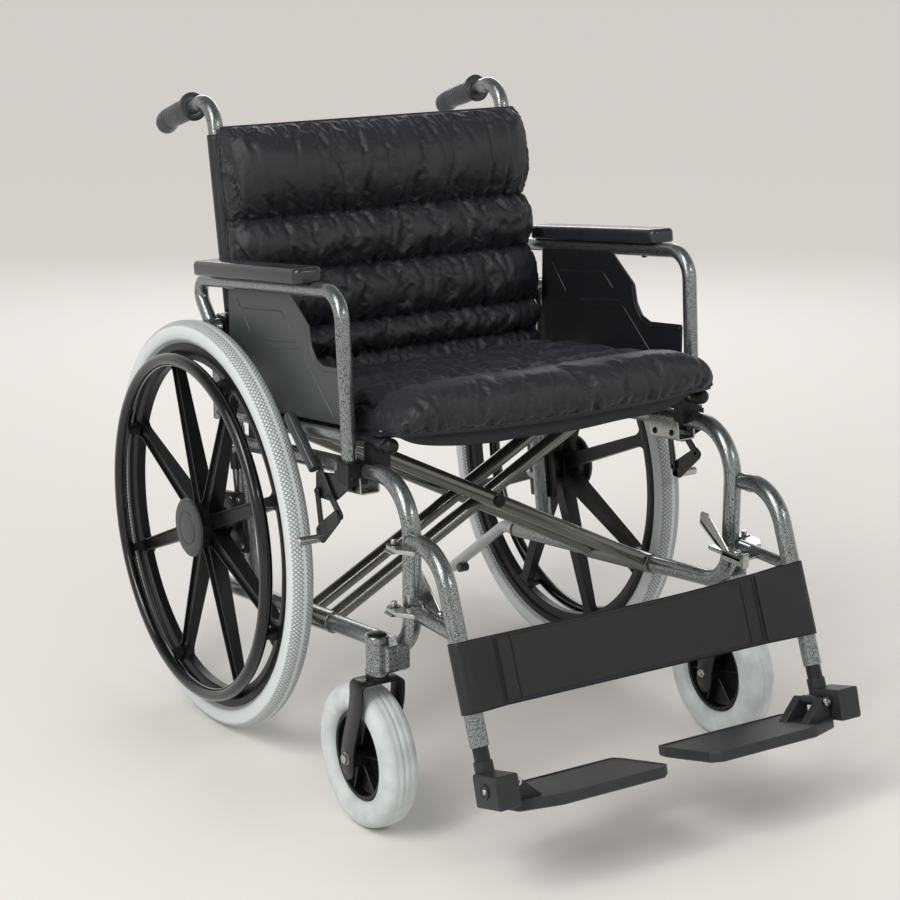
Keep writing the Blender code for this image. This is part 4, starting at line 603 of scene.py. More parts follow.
def axle_plate():
    """Black receiver plate of the rear axle on the upright, with its four bolts and the collar on the tube."""
    z = WHEEL_RADIUS
    lean = unit((0.0, UPRIGHT_LEAN, 1.0))
    across = np.cross(lean, (1.0, 0.0, 0.0))
    axes = np.array([(1.0, 0.0, 0.0), across, lean])
    plate = block((0.2705, upright_y(z) + 0.012, z), axes, (0.0, -0.034, -0.045), (0.009, 0.033, 0.045), 0.0015)
    bolts = []
    for along in (-0.034, 0.034):
        for side in (-0.026, 0.0):
            place = np.array([0.2795, upright_y(z) + 0.012, z]) + lean * along + across * side
            bolts.append(screw(place, ACROSS, 0.0048, 0.0028))
    collar_z = 0.398
    collar = turned([(-0.0125, 0.0130), (-0.0125, 0.0146), (0.0125, 0.0146), (0.0125, 0.0130)],
                    (FRAME_X, upright_y(collar_z), collar_z), (0.0, UPRIGHT_LEAN, 1.0), 28, ring=True)
    return joined(plate, collar), joined(*bolts)


def hanger_ears():
    """The two ears on the leg with the pins that the hanger turns on: rounded plates and round pins."""
    pivot_x, pivot_y = 0.290, -0.503
    parts, pins = [], []
    for ear_top in (0.3165, 0.4015):
        parts.append(brick((FRAME_X + 0.004, pivot_x + 0.010), (pivot_y - 0.009, pivot_y + 0.009),
                           (ear_top - 0.005, ear_top), 0.0012))
        pins.append(turned([(0.0, 0.004), (0.0150, 0.004), (0.0158, 0.0034), (0.0158, 0.0003)],
                           (pivot_x, pivot_y, ear_top - 0.0025), UPWARDS, 16))
    return joined(*parts), joined(*pins)


metal, welds = side_frame()
ears, pins = hanger_ears()
plate, bolts = axle_plate()
paired("side_frame_tube", joined(metal, ears), HAMMERTONE, "frame", ("side_frame",))
paired("frame_weld", welds, HAMMERTONE, "frame", (), 60.0)
paired("axle_plate", plate, BLACK_PLATE, "frame", ())
paired("axle_plate_bolts", bolts, ZINC, "frame", ())
paired("hanger_pins", pins, ZINC, "frame", ())


# Back cane and grip

CANE_PATH = bent(((FRAME_X, upright_y(UPRIGHT_TOP) + 0.0001, UPRIGHT_TOP + 0.0003),
                  (FRAME_X, upright_y(UPRIGHT_TOP + 0.004), UPRIGHT_TOP + 0.004),
                  (CANE_X, upright_y(CANE_JOG_TOP), CANE_JOG_TOP), (CANE_X, upright_y(CANE_CORNER), CANE_CORNER),
                  np.array([CANE_X, upright_y(CANE_CORNER), CANE_CORNER]) + HANDLE * HANDLE_LENGTH),
                 (0.016, 0.030, CANE_BEND))
paired("back_cane_tube", pipe(CANE_PATH, CANE_RADIUS), HAMMERTONE, "frame", ("back_cane",))


def handle_grip():
    """Rubber grip: a flange, a ribbed sleeve that swells and thins, and a rounded end that droops.

    Its radius is that of the sleeve plus a long swell, a groove each 7 mm, and a half ellipse at the end."""
    start = np.array([CANE_X, upright_y(CANE_CORNER), CANE_CORNER]) + HANDLE * (HANDLE_LENGTH - GRIP_LENGTH + 0.008)
    along = np.concatenate([[0.0, 0.0, 0.001, 0.005, 0.006], np.linspace(0.0065, 0.1155, 150)])
    swell = 0.0158 + 0.0010 * np.sin(np.clip((along - 0.01) / 0.07, 0, 1) * math.pi)
    swell = swell + 0.0020 * np.exp(-((along - 0.100) / 0.014) ** 2)
    grooves = 0.0007 * (np.sin(along / 0.007 * 2 * math.pi) > 0.55) * ((along > 0.016) & (along < 0.086))
    tip = np.sqrt(np.clip(1 - (np.clip(along - 0.1015, 0, None) / 0.0141) ** 2, 0.0004, 1))
    radius = (swell - grooves) * tip
    radius[:5] = (0.0120, 0.0205, 0.0215, 0.0215, 0.0200)
    droop = -0.0055 * np.clip((along - 0.078) / 0.03, 0, 1) ** 1.5
    path = start + along[:, None] * HANDLE + droop[:, None] * np.array([0.0, 0.0, 1.0])
    first = np.array([1.0, 0.0, 0.0])
    second = np.cross(HANDLE, first)
    ring = circle(1.0, 32)
    grid = path[:, None] + radius[:, None, None] * (ring[None, :, :1] * first + ring[None, :, 1:] * second)
    return surface(grid)


paired("handle_grip_rubber", handle_grip(), GRIP_RUBBER, "frame", ("handle_grip",), 50.0)


# Rear wheels

def tyre():
    """Round-shouldered tyre: a closed outline turned about the axle.

    The outline is a rounded square of half the width, a little squarer on the tread side than at the rim."""
    middle = WHEEL_RADIUS - TYRE_HALF
    angle = np.linspace(0, 2 * math.pi, 48, endpoint=False)
    power = np.where(np.sin(angle) > 0, 2.5, 2.2)
    size = (np.abs(np.cos(angle)) ** power + np.abs(np.sin(angle)) ** power) ** (-1 / power)
    x = TYRE_HALF * size * np.cos(angle)
    radius = middle + TYRE_HALF * size * np.sin(angle)
    return turned(np.column_stack([x, radius]), WHEEL_AXLE, ACROSS, 180, ring=True)


def wheel_rim():
    """Moulded rim: shoulders beside the tyre, a step, and a deep channelled inner band."""
    seat = WHEEL_RADIUS - 2 * TYRE_HALF - 0.0002
    inner = seat - RIM_DEPTH
    half = RIM_HALF
    side = [(half, seat + 0.0030), (half + 0.0006, seat + 0.0012), (half + 0.0006, seat - 0.0070),
            (half - 0.0008, seat - 0.0085), (half - 0.0030, seat - 0.0092), (half - 0.0042, inner + 0.004),
            (half - 0.0050, inner + 0.001), (half - 0.0064, inner)]
    profile = side + [(-x, r) for x, r in reversed(side)]
    return turned(profile, WHEEL_AXLE, ACROSS, 160, ring=True)


def spoke():
    """One spoke of T section with two raised ribs on its outer face.

    The outline at each distance from the hub is a flat channel; its width falls from hub to middle and grows
    again in a round fillet at the rim, and its depth thins towards the rim."""
    inner, outer = 0.026, WHEEL_RADIUS - 2 * TYRE_HALF - RIM_DEPTH + 0.0030
    share = np.linspace(0, 1, 40)
    reach = inner + (outer - inner) * share
    width = 0.0112 - 0.0022 * share + 0.010 * np.clip((share - 0.925) / 0.075, 0, 1) ** 2.2
    width = width + 0.004 * np.clip(1 - share / 0.10, 0, 1) ** 2
    depth = 0.0125 - 0.0060 * share
    rib, slope, sunk = 0.0020, 0.0008, depth - 0.0042
    corners = [(-width, -depth), (width, -depth), (width, depth), (width - rib, depth), (width - rib - slope, sunk),
               (-width + rib + slope, sunk), (-width + rib, depth), (-width, depth)]
    section = np.stack([np.stack(corner, -1) for corner in corners], 1)
    outwards = np.broadcast_to(reach[:, None], section.shape[:2])
    return surface(np.stack([section[..., 1], section[..., 0], outwards], -1))


def around_axle(shape, angle, x=WHEEL_X, y=0.0, z=WHEEL_RADIUS):
    """A surface drawn upwards from an axle, turned about it by an angle and set in place."""
    cos, sin = math.cos(angle), math.sin(angle)
    turn = np.array([[1, 0, 0], [0, cos, -sin], [0, sin, cos]])
    return shape[0] @ turn.T + (x, y, z), shape[1], shape[2]


def wheel_body():
    """Rim, eight spokes, hub with its stepped barrel, and the valve."""
    x = WHEEL_X
    hub = [(HUB_INNER - x, 0.0072), (HUB_INNER - x, 0.0215), (HUB_INNER - x + 0.002, 0.0225), (-0.015, 0.0240),
           (-0.0135, 0.0325), (-0.0120, HUB_RADIUS), (HUB_OUTER - x - 0.0012, HUB_RADIUS),
           (HUB_OUTER - x, HUB_RADIUS - 0.0012), (HUB_OUTER - x, 0.0072)]
    parts = [wheel_rim(), turned(hub, (x, 0.0, WHEEL_RADIUS), ACROSS, 64, ring=True)]
    parts += [around_axle(spoke(), angle) for angle in SPOKE_ANGLES]
    stem = pipe([(0.0, 0.0, 0.228), (0.0, 0.0, 0.250)], 0.0042, ACROSS, 16)
    cap = pipe([(0.0, 0.0, 0.214), (0.0, 0.0, 0.229)], 0.0034, ACROSS, 16)
    parts += [around_axle(part, math.radians(121.0)) for part in (stem, cap)]
    return joined(*parts)


def hub_cap():
    """Round hub cap: a chamfered disc with a groove and a low dome in its middle."""
    angle = np.linspace(0.0, math.pi / 2, 10)
    dome = np.column_stack([0.0060 + 0.0028 * np.sin(angle), 0.0235 * np.cos(angle) + 0.0003])
    profile = np.concatenate([[(0.0, 0.030), (0.0, CAP_RADIUS - 0.0015), (0.0015, CAP_RADIUS),
                               (0.0048, CAP_RADIUS - 0.0004), (0.0066, CAP_RADIUS - 0.0030),
                               (0.0070, 0.0275), (0.0060, 0.0262), (0.0055, 0.0240)], dome])
    disc = turned(profile, (HUB_OUTER + 0.0003, 0.0, WHEEL_RADIUS), ACROSS, 64)
    rod = [(0.252, 0.0057), (0.2525, 0.0062), (HUB_OUTER + 0.001, 0.0062)]
    axle = turned(rod, (0, 0, WHEEL_RADIUS), ACROSS, 24)
    return disc, axle


def handrim():
    """Round push rim."""
    angle = np.linspace(0, 2 * math.pi, 28, endpoint=False)
    ring = np.column_stack([HANDRIM_RADIUS * np.cos(angle), HANDRIM_RING + HANDRIM_RADIUS * np.sin(angle)])
    return turned(ring, (HANDRIM_X, 0.0, WHEEL_RADIUS), ACROSS, 180, ring=True)


def handrim_stands():
    """Short posts that join the push rim to the wheel beside each spoke: tapered bricks."""
    posts = []
    for angle in SPOKE_ANGLES:
        share = np.linspace(0, 1, 6)[:, None]
        reach = (WHEEL_X + RIM_HALF - 0.003) * (1 - share) + (HANDRIM_X - 0.002) * share - WHEEL_X
        half = 0.0085 - 0.0030 * np.sin(share * math.pi / 2)
        outline = np.array([(-1, -0.6), (-0.8, -0.9), (0.8, -0.9), (1, -0.6),
                            (1, 1.0), (0.8, 1.3), (-0.8, 1.3), (-1, 1.0)])
        grid = np.stack([np.broadcast_to(reach, (6, 8)), half * outline[:, 0],
                         HANDRIM_RING + half * outline[:, 1]], -1)
        posts.append(around_axle(surface(grid), angle))
    return joined(*posts)


paired("tyre_rubber", tyre(), TYRE_RUBBER, "wheel", ("tyre",))
paired("wheel_moulding", wheel_body(), BLACK_PLASTIC, "wheel", ("mag_wheel",))
disc, axle = hub_cap()
paired("hub_cap", disc, CAP_PLASTIC, "wheel", ("wheel_axle",))
paired("axle_rod", axle, ZINC, "wheel", ())
paired("push_rim", handrim(), GLOSS, "wheel", ("handrim",))
paired("push_rim_posts", handrim_stands(), BLACK_PLASTIC, "wheel", ())


# Castors

def castor_tyre():
    """Fat castor tyre: a rounded box section with three grooves round its tread."""
    angle = np.linspace(0, 2 * math.pi, 72, endpoint=False)
    middle, half_high = (CASTOR_RADIUS + CASTOR_RIM) / 2, (CASTOR_RADIUS - CASTOR_RIM) / 2
    size = (np.abs(np.cos(angle)) ** 2.9 + np.abs(np.sin(angle)) ** 2.9) ** (-1 / 2.9)
    x = CASTOR_HALF * size * np.cos(angle)
    radius = middle + half_high * size * np.sin(angle)
    tread = np.sin(angle) > 0
    for groove in (-0.0085, 0.0, 0.0085):
        radius = radius - np.where(tread, 0.0013 * np.exp(-((x - groove) / 0.0011) ** 2), 0.0)
    return turned(np.column_stack([x, radius]), CASTOR_AXLE, ACROSS, 128, ring=True)


def castor_hub():
    """Dished centre: rim band, thin web, barrel and six thin ribs on both faces."""
    rim = CASTOR_RIM - 0.0003
    half = [(0.0265, 0.0052), (0.0265, 0.0130), (0.0255, 0.0142), (0.0045, 0.0165), (0.0030, 0.0190),
            (0.0026, rim - 0.0100), (0.0045, rim - 0.0066), (0.0158, rim - 0.0050), (0.0165, rim - 0.0040),
            (0.0165, rim)]
    profile = half + [(-x, r) for x, r in reversed(half)]
    parts = [turned(profile, CASTOR_AXLE, ACROSS, 96, ring=True)]
    for index in range(6):
        rib = brick((-0.0135, 0.0135), (-0.0014, 0.0014), (0.0120, rim - 0.0055), 0.0006)
        parts.append(around_axle(rib, index * math.pi / 3 + 0.3, *CASTOR_AXLE))
    return joined(*parts)


def castor_fork():
    """Bent flat-bar fork: an upside-down U of even thickness whose legs lean back and end round, and its stem cap.

    Each ring is the bar's width across the line of the fork at that place."""
    half, metal = 0.0295, 0.004
    path = bent(((-half - metal / 2, 0.0, 0.070), (-half - metal / 2, 0.0, 0.2175 - metal / 2),
                 (half + metal / 2, 0.0, 0.2175 - metal / 2), (half + metal / 2, 0.0, 0.070)), (0.0075, 0.0075), 8)
    drop = np.linspace(0.0, 1.0, 26)
    legs = np.stack([np.full(26, path[0, 0]), np.zeros(26), 0.070 + (path[1, 2] - 0.070) * drop], -1)
    other = legs[::-1] * (-1, 1, 1)
    path = np.concatenate([legs[:-1], path[1:-1], other[1:]])
    z = path[:, 2]
    lean = np.clip((0.200 - z) / (0.200 - 0.095), 0, 1)
    middle = SWIVEL_Y + (CASTOR_Y - SWIVEL_Y) * (lean * lean * (3 - 2 * lean))
    low = np.clip((z - 0.070) / 0.0165, 0, 1)
    wide = 0.0165 * np.sqrt(np.clip(1 - (1 - low) ** 2, 0.02, 1))
    heading = unit(np.gradient(path, axis=0))
    normal = np.cross(heading, (0.0, 1.0, 0.0))
    outline = np.array([(-1.0, -0.7), (-0.94, -1.0), (0.94, -1.0), (1.0, -0.7),
                        (1.0, 0.7), (0.94, 1.0), (-0.94, 1.0), (-1.0, 0.7)])
    centre = np.stack([CASTOR_X + path[:, 0], middle, z], -1)
    grid = (centre[:, None] + outline[None, :, :1] * wide[:, None, None] * np.array([0.0, 1.0, 0.0])
            + outline[None, :, 1:] * (metal / 2) * normal[:, None])
    cap = turned([(0.0, 0.0155), (0.0040, 0.0155), (0.0048, 0.0145), (0.0048, 0.0003)],
                 (CASTOR_X, SWIVEL_Y, 0.2175), UPWARDS, 32)
    return joined(surface(grid), cap)


def castor_bolt():
    """Axle bolt of the castor: hexagon head with its washer on the outer side, nut and thread end on the inner."""
    face = 0.0335
    parts = [
        turned([(-face - 0.009, 0.0032), (-face - 0.0085, 0.004), (face + 0.003, 0.004)],
               CASTOR_AXLE, ACROSS, 20),
        turned([(face, 0.0085), (face + 0.0010, 0.0085), (face + 0.0010, 0.0040)], CASTOR_AXLE,
               ACROSS, 28),
        turned([(face + 0.0010, 0.0070), (face + 0.0052, 0.0070), (face + 0.0060, 0.0060), (face + 0.0060, 0.0003)],
               CASTOR_AXLE, ACROSS, 6),
        turned([(-face, 0.0070), (-face - 0.0052, 0.0070), (-face - 0.0060, 0.0060), (-face - 0.0060, 0.0040)],
               CASTOR_AXLE, ACROSS, 6),
    ]
    return joined(*parts)


def housing_cap():
    """Low domed dust cap on top of the castor housing."""
    angle = np.linspace(0.0, math.pi / 2, 8)
    profile = np.column_stack([0.0035 * np.sin(angle), 0.0130 * np.cos(angle) + 0.0003])
    return turned(np.concatenate([[(-0.002, 0.0130)], profile]), (CASTOR_X, SWIVEL_Y, HOUSING_TOP), UPWARDS, 28)


paired("castor_tyre_rubber", castor_tyre(), CASTOR_RUBBER, "castor_wheel", ("castor_tyre",), 60.0)
paired("castor_centre", castor_hub(), BLACK_PLASTIC, "castor_wheel", ("castor_hub",))
paired("castor_fork_bar", castor_fork(), BLACK_PLATE, "castor_swivel", ("castor_fork",))
paired("castor_axle_bolt", castor_bolt(), ZINC, "castor_swivel", ())
paired("housing_cap", housing_cap(), BLACK_PLASTIC, "frame", ())


# Cross brace

def brace(hinge_x, bar_ys):
    """Two crossing tubes, the sleeve round the lower tube and the seat rail, on one side of the fold."""
    side = 1.0 if hinge_x > 0 else -1.0
    rail_x = -side * RAIL_X
    rise = SEAT_UP * (RAIL_HEIGHT - LOWER_HEIGHT) * math.cos(SEAT_TILT)
    parts = []
    for y in bar_ys:
        low = np.array([hinge_x, y, sloped(LOWER_HEIGHT, y)])
        top = low + rise
        top[0] = rail_x
        parts.append(pipe((low, top - unit(top - low) * 0.004), BRACE_RADIUS, (0.0, 1.0, 0.0)))
    parts.append(pipe([(rail_x, y, sloped(RAIL_HEIGHT, y)) for y in (RAIL_FRONT, RAIL_REAR)], RAIL_RADIUS))
    sleeve = [(hinge_x, y, sloped(LOWER_HEIGHT, y)) for y in (bar_ys[0] - SLEEVE_OVER, bar_ys[1] + SLEEVE_OVER)]
    return joined(*parts), pipe(sleeve, SLEEVE_RADIUS)


def rail_caps(rail_x):
    """Ball cap on the front end of a seat rail: a short sleeve and a half round."""
    angle = np.linspace(0.0, math.pi / 2, 10)
    profile = np.concatenate([[(-0.014, RAIL_RADIUS), (-0.0138, RAIL_RADIUS + 0.0007),
                               (-0.002, RAIL_RADIUS + 0.0007)],
                              np.column_stack([0.0095 * np.sin(angle) - 0.001,
                                               (RAIL_RADIUS + 0.0004) * np.cos(angle) + 0.0002])])
    return turned(profile, (rail_x, RAIL_FRONT, sloped(RAIL_HEIGHT, RAIL_FRONT)), SEAT_AHEAD, 28)


def pivot_centre(y_low):
    """Point of the brace's centre pivot in the plane of a bar that starts at y_low."""
    share = FRAME_X / (FRAME_X + RAIL_X)
    rise = SEAT_UP * (RAIL_HEIGHT - LOWER_HEIGHT) * math.cos(SEAT_TILT) * share
    return np.array([0.0, y_low, sloped(LOWER_HEIGHT, y_low)]) + rise


def pivot_pins():
    """Bolt through each pair of crossing bars, with a round black button on the front."""
    parts = []
    for outer, inner, ahead in ((BRACE_A_Y[0], BRACE_B_Y[0], 1.0), (BRACE_A_Y[1], BRACE_B_Y[1], -1.0)):
        start = pivot_centre(inner) - SEAT_AHEAD * ahead * 0.014
        end = pivot_centre(outer) + SEAT_AHEAD * ahead * 0.014
        parts.append(pipe((start, end), 0.0045, (1.0, 0.0, 0.0), 16))
    angle = np.linspace(0.0, math.pi / 2, 9)
    profile = np.concatenate([[(0.0, 0.0095), (0.0048, 0.0095)],
                              np.column_stack([0.0048 + 0.0032 * np.sin(angle), 0.0092 * np.cos(angle) + 0.0003])])
    button = turned(profile, pivot_centre(BRACE_A_Y[0]) + SEAT_AHEAD * (BRACE_RADIUS - 0.003), SEAT_AHEAD, 28)
    return joined(*parts), button


bars_a, sleeve_a = brace(FRAME_X, BRACE_A_Y)
bars_b, sleeve_b = brace(-FRAME_X, BRACE_B_Y)
pin_metal, button = pivot_pins()
placed("brace_a_tubes", joined(bars_a, sleeve_a), BRACE_METAL, "brace_a", ("brace_a",))
placed("brace_b_tubes", joined(bars_b, sleeve_b), BRACE_METAL, "brace_b", ("brace_b",))
placed("rail_cap_right", rail_caps(-RAIL_X), BLACK_PLASTIC, "brace_a", ())
placed("rail_cap_left", rail_caps(RAIL_X), BLACK_PLASTIC, "brace_b", ())
placed("pivot_bolts", pin_metal, ZINC, "brace_a", ())
placed("pivot_button", button, BLACK_PLASTIC, "brace_a", ())


# Outlines and plates

SIDE_AXES = ((0.0, 1.0, 0.0), (0.0, 0.0, 1.0), (1.0, 0.0, 0.0))
FOOT_AXES = ((1.0, 0.0, 0.0), FOOT_AHEAD, FOOT_UP)
ALONG_AXES = ((1.0, 0.0, 0.0), FOOT_UP, FOOT_AHEAD)
FOOT_ORIGIN = (0.0, FOOT_HINGE[1], FOOT_HINGE[2])


def rounded(corners, radius, steps=5):
    """Closed outline of the corners, each turned by an arc of its radius."""
    corners = np.asarray(corners, float)
    start = (corners[0] + corners[-1]) / 2
    return bent([start, *corners, start], np.broadcast_to(radius, len(corners)), steps)[:-1]


def drawn_in(outline, distance):
    """Closed outline moved inwards: each point goes along the sum of its two edges' normals."""
    following = np.roll(outline, -1, axis=0)
    area = (outline[:, 0] * following[:, 1] - following[:, 0] * outline[:, 1]).sum()
    after = unit(following - outline)[:, ::-1] * (-1.0, 1.0)
    before = np.roll(after, 1, axis=0)
    shift = (before + after) / (1 + (before * after).sum(-1, keepdims=True))
    return outline + math.copysign(distance, area) * shift


def plate(outline, levels, origin=(0.0, 0.0, 0.0), axes=PLAIN_AXES):
    """Solid of an outline: a ring for each (height, inset, scale), the first and last of them capped."""
    rows = [np.column_stack([drawn_in(outline, inset) * scale, np.full(len(outline), height)])
            for height, inset, scale in levels]
    return surface(np.asarray(origin, float) + np.stack(rows) @ np.asarray(axes, float))


def eased(low, high, ease=0.0008):
    """Levels of a plate between two heights with its edges cut."""
    return (low, ease, 1.0), (low + ease, 0.0, 1.0), (high - ease, 0.0, 1.0), (high, ease, 1.0)


def link_outline(start, end, width, steps=8):
    """Long outline with half-round ends about two points."""
    start, end = np.asarray(start, float), np.asarray(end, float)
    along = unit(end - start)
    angle = np.linspace(-math.pi / 2, math.pi / 2, steps + 1)[:, None]
    around = width / 2 * (np.cos(angle) * along + np.sin(angle) * np.array([-along[1], along[0]]))
    return np.concatenate([end + around, start - around])


# Armrests

def arm_bar_z(y):
    """Height of the armrest's lower bar at y."""
    return ARM_BAR_REAR - math.tan(SEAT_TILT) * (y - ARM_REAR_POST_Y)


def armrest():
    """Bent loop from the socket over the pad's line to the rear post, its lower bar and the hinge eye."""
    foot_y, foot_z = ARM_POST_FOOT
    loop = bent(((ARM_X, foot_y, foot_z), (ARM_X, ARM_FRONT_Y, sloped(ARM_HEIGHT, ARM_FRONT_Y)),
                 (ARM_X, ARM_REAR_Y, sloped(ARM_HEIGHT, ARM_REAR_Y)), (ARM_X, ARM_REAR_POST_Y, ARM_KNEE_Z),
                 (ARM_X, ARM_REAR_POST_Y, ARM_BAR_REAR - ARM_RADIUS)), (0.038, 0.022, 0.040))
    join_y = foot_y + 0.003
    lower = pipe(((ARM_X, ARM_REAR_POST_Y, ARM_BAR_REAR), (ARM_X, join_y, arm_bar_z(join_y))), ARM_RADIUS - 0.0012)
    half = ARM_RADIUS
    eye = turned([(-half, 0.0049), (-half, 0.0127), (-half + 0.0008, 0.0135), (half - 0.0008, 0.0135),
                  (half, 0.0127), (half, 0.0049)], (ARM_X, *ARM_HINGE), ACROSS, 32, ring=True)
    return joined(pipe(loop, ARM_RADIUS), lower, eye)


def arm_pad():
    """Soft moulded pad: a long outline with round corners, sides that turn over in a quarter round, and a crown."""
    middle = sum(PAD_Y) / 2 + 0.0015
    origin = (sum(PAD_X) / 2, middle, sloped(ARM_HEIGHT, middle) + 0.0099 / math.cos(SEAT_TILT))
    half_x, half_y = (PAD_X[1] - PAD_X[0]) / 2, (PAD_Y[1] - PAD_Y[0]) / 2 / math.cos(SEAT_TILT)
    outline = rounded(((-half_x, -half_y), (half_x, -half_y), (half_x, half_y), (-half_x, half_y)),
                      (0.009, 0.009, 0.0125, 0.0125), 8)
    turn = np.linspace(0.0, math.pi / 2, 8)
    shoulder = [(PAD_THICKNESS - 0.0080 + 0.0070 * math.sin(t), 0.0070 * (1 - math.cos(t)), 1.0) for t in turn]
    crown = [(PAD_THICKNESS - 0.0005, 0.0070, 0.82), (PAD_THICKNESS - 0.0002, 0.0070, 0.55),
             (PAD_THICKNESS, 0.0070, 0.25)]
    base = [(0.0, 0.0022, 1.0), (0.0010, 0.0006, 1.0), (0.0026, 0.0, 1.0)]
    return plate(outline, base + shoulder + crown, origin, ((1.0, 0.0, 0.0), SEAT_AHEAD, SEAT_UP))


def arm_screws():
    """The two screws from under the tube up into the pad."""
    parts = []
    for y in (-0.255, -0.015):
        place = np.array([ARM_X, y, sloped(ARM_HEIGHT, y)]) - SEAT_UP * (ARM_RADIUS - 0.0004)
        parts.append(screw(place, -SEAT_UP, 0.0048, 0.0026))
    return joined(*parts)


GUARD_X = (0.27259, 0.27559)
GUARD_OUTLINE = rounded([(-0.004, arm_bar_z(-0.004) + 0.012), (-0.004, sloped(ARM_HEIGHT, -0.004) - 0.004),
                         (-0.190, sloped(ARM_HEIGHT, -0.190) - 0.004), (-0.249, 0.648), (-0.256, 0.622),
                         (-0.270, 0.605), (-0.290, 0.599), (-0.366, 0.608), (-0.366, arm_bar_z(-0.366) + 0.012)],
                        (0.006, 0.006, 0.008, 0.010, 0.012, 0.010, 0.012, 0.004, 0.006), 6)


def skirt_guard():
    """Moulded side panel with an eased edge, a raised border along its cut-out and raised ribs on both faces.

    A rib is an oval carried along its line, wider than the panel is thick; its ends shrink to about three quarters."""
    panel = plate(GUARD_OUTLINE, eased(*GUARD_X, 0.0006), axes=SIDE_AXES)
    border = drawn_in(GUARD_OUTLINE, 0.0062)
    border = border[(border[:, 0] < -0.183) & (border[:, 1] > 0.588) & (border[:, 1] < 0.676)]
    lines = [(border, 0.0019),
             (bent([(-0.0323, 0.6478), (-0.0742, 0.6048), (-0.0453, 0.5816)], (0.008,), 6), 0.0016),
             (bent([(-0.0485, 0.6367), (-0.1700, 0.6533), (-0.1960, 0.6330)], (0.012,), 6), 0.0016),
             (np.array([(-0.1123, 0.6031), (-0.1600, 0.6098), (-0.2123, 0.6171)]), 0.0018),
             (bent([(-0.1331, 0.5908), (-0.1400, 0.5972), (-0.2223, 0.6106), (-0.3187, 0.5340)],
                   (0.004, 0.012), 6), 0.0014)]
    ribs = []
    for line, half in lines:
        path = np.column_stack([np.full(len(line), sum(GUARD_X) / 2), line])
        steps = unit(np.diff(path, axis=0))
        path = np.concatenate([path[:1], path[:1] + steps[:1] * 0.0012, path[1:-1],
                               path[-1:] - steps[-1:] * 0.0012, path[-1:]])
        size = np.ones(len(path))
        size[[0, -1]] = 0.72
        ribs.append(swept(path, circle(1.0, 12)[None] * np.stack([half * size, 0.0024 * size], -1)[:, None]))
    return joined(panel, *ribs)


paired("armrest_loop", armrest(), HAMMERTONE, "armrest", ("armrest_tube",))
for pad in paired("arm_pad_soft", arm_pad(), PAD_SKIN, "armrest", ("arm_pad",), 50.0):
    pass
paired("arm_screws", arm_screws(), BLACK_PLATE, "armrest", ())
paired("skirt_guard_panel", skirt_guard(), GUARD_PLASTIC, "armrest", ("skirt_guard",), 40.0)


# Legrests

EAR_HEIGHTS = (0.3168, 0.4018)
HANGER_PIVOT, LATCH_PIVOT = (0.290, -0.503), (0.2435, -0.545)


def hanger():
    """Bent tube with its flattened lower bar."""
    path = bent(((HANGER_X, *HANGER_START), (HANGER_X, *HANGER_CORNER), hanger_point(HANGER_END)),
                (HANGER_BEND,), 24)
    lower = swept(((HANGER_X, HANGER_START[0], 0.31555), (HANGER_X, -0.600, 0.31555), (HANGER_X, -0.628, 0.31555)),
                  circle(0.00875, 28, 0.80))
    return joined(pipe(path, HANGER_RADIUS), lower)


def hanger_tongues():
    """Flat ears that reach round the leg to the hinge pins, each a rounded plate and a ring, and the latch plate."""
    start_y, (pivot_x, pivot_y) = HANGER_START[0], HANGER_PIVOT
    outline = rounded(((HANGER_X - 0.009, start_y - 0.028), (HANGER_X - 0.009, start_y - 0.0015),
                       (0.2790, start_y - 0.0005), (0.2815, pivot_y - 0.004), (pivot_x + 0.0095, pivot_y - 0.001),
                       (pivot_x + 0.0095, start_y - 0.008), (0.286, start_y - 0.028)),
                      (0.003, 0.003, 0.002, 0.002, 0.002, 0.005, 0.005), 4)
    parts = []
    for z in EAR_HEIGHTS:
        parts.append(plate(outline, eased(z, z + 0.006)))
        parts.append(turned([(0.0, 0.0045), (0.0, 0.0093), (0.0007, 0.0100), (0.0053, 0.0100), (0.0060, 0.0093),
                             (0.0060, 0.0045)], (pivot_x, pivot_y, z), UPWARDS, 28, ring=True))
    low = EAR_HEIGHTS[0]
    parts += [brick((0.2365, 0.2505), (-0.562, -0.488), (low - 0.010, low - 0.004), 0.0012),
              brick((0.2375, HANGER_X), (-0.562, -0.534), (low - 0.009, low - 0.005), 0.0012),
              brick((0.2365, 0.2385), (-0.566, -0.520), (low - 0.016, low - 0.0045), 0.0008),
              brick((0.2372, 0.2500), (-0.5655, -0.5625), (low - 0.018, low + 0.0030), 0.0010),
              turned([(0.0, 0.0030), (0.0040, 0.0030), (0.0040, 0.0062), (0.0052, 0.0066), (0.0068, 0.0058),
                      (0.0074, 0.0040), (0.0074, 0.0003)], (*LATCH_PIVOT, low - 0.004), UPWARDS, 24)]
    return joined(*parts)


def latch_lever():
    """Paddle of the hanger's latch: a bent strip that rises to the rear, and a standing wing on it."""
    low = EAR_HEIGHTS[0] - 0.0037
    x, y = LATCH_PIVOT
    strip = rounded(((y - 0.008, low), (y + 0.030, low), (y + 0.0785, low + 0.030), (y + 0.0765, low + 0.034),
                     (y + 0.026, low + 0.0042), (y - 0.008, low + 0.0034)),
                    (0.001, 0.02, 0.0015, 0.0015, 0.02, 0.001), 5)
    wing = rounded(((y + 0.008, low + 0.0008), (y + 0.040, low + 0.0045), (y + 0.0785, low + 0.026),
                    (y + 0.0775, low + 0.046), (y + 0.060, low + 0.046), (y + 0.034, low + 0.024)),
                   (0.001, 0.006, 0.004, 0.006, 0.010, 0.010), 6)
    return joined(plate(strip, eased(x - 0.0060, x + 0.0060), axes=SIDE_AXES),
                  plate(wing, eased(x - 0.0060, x - 0.0042, 0.0005), axes=SIDE_AXES))


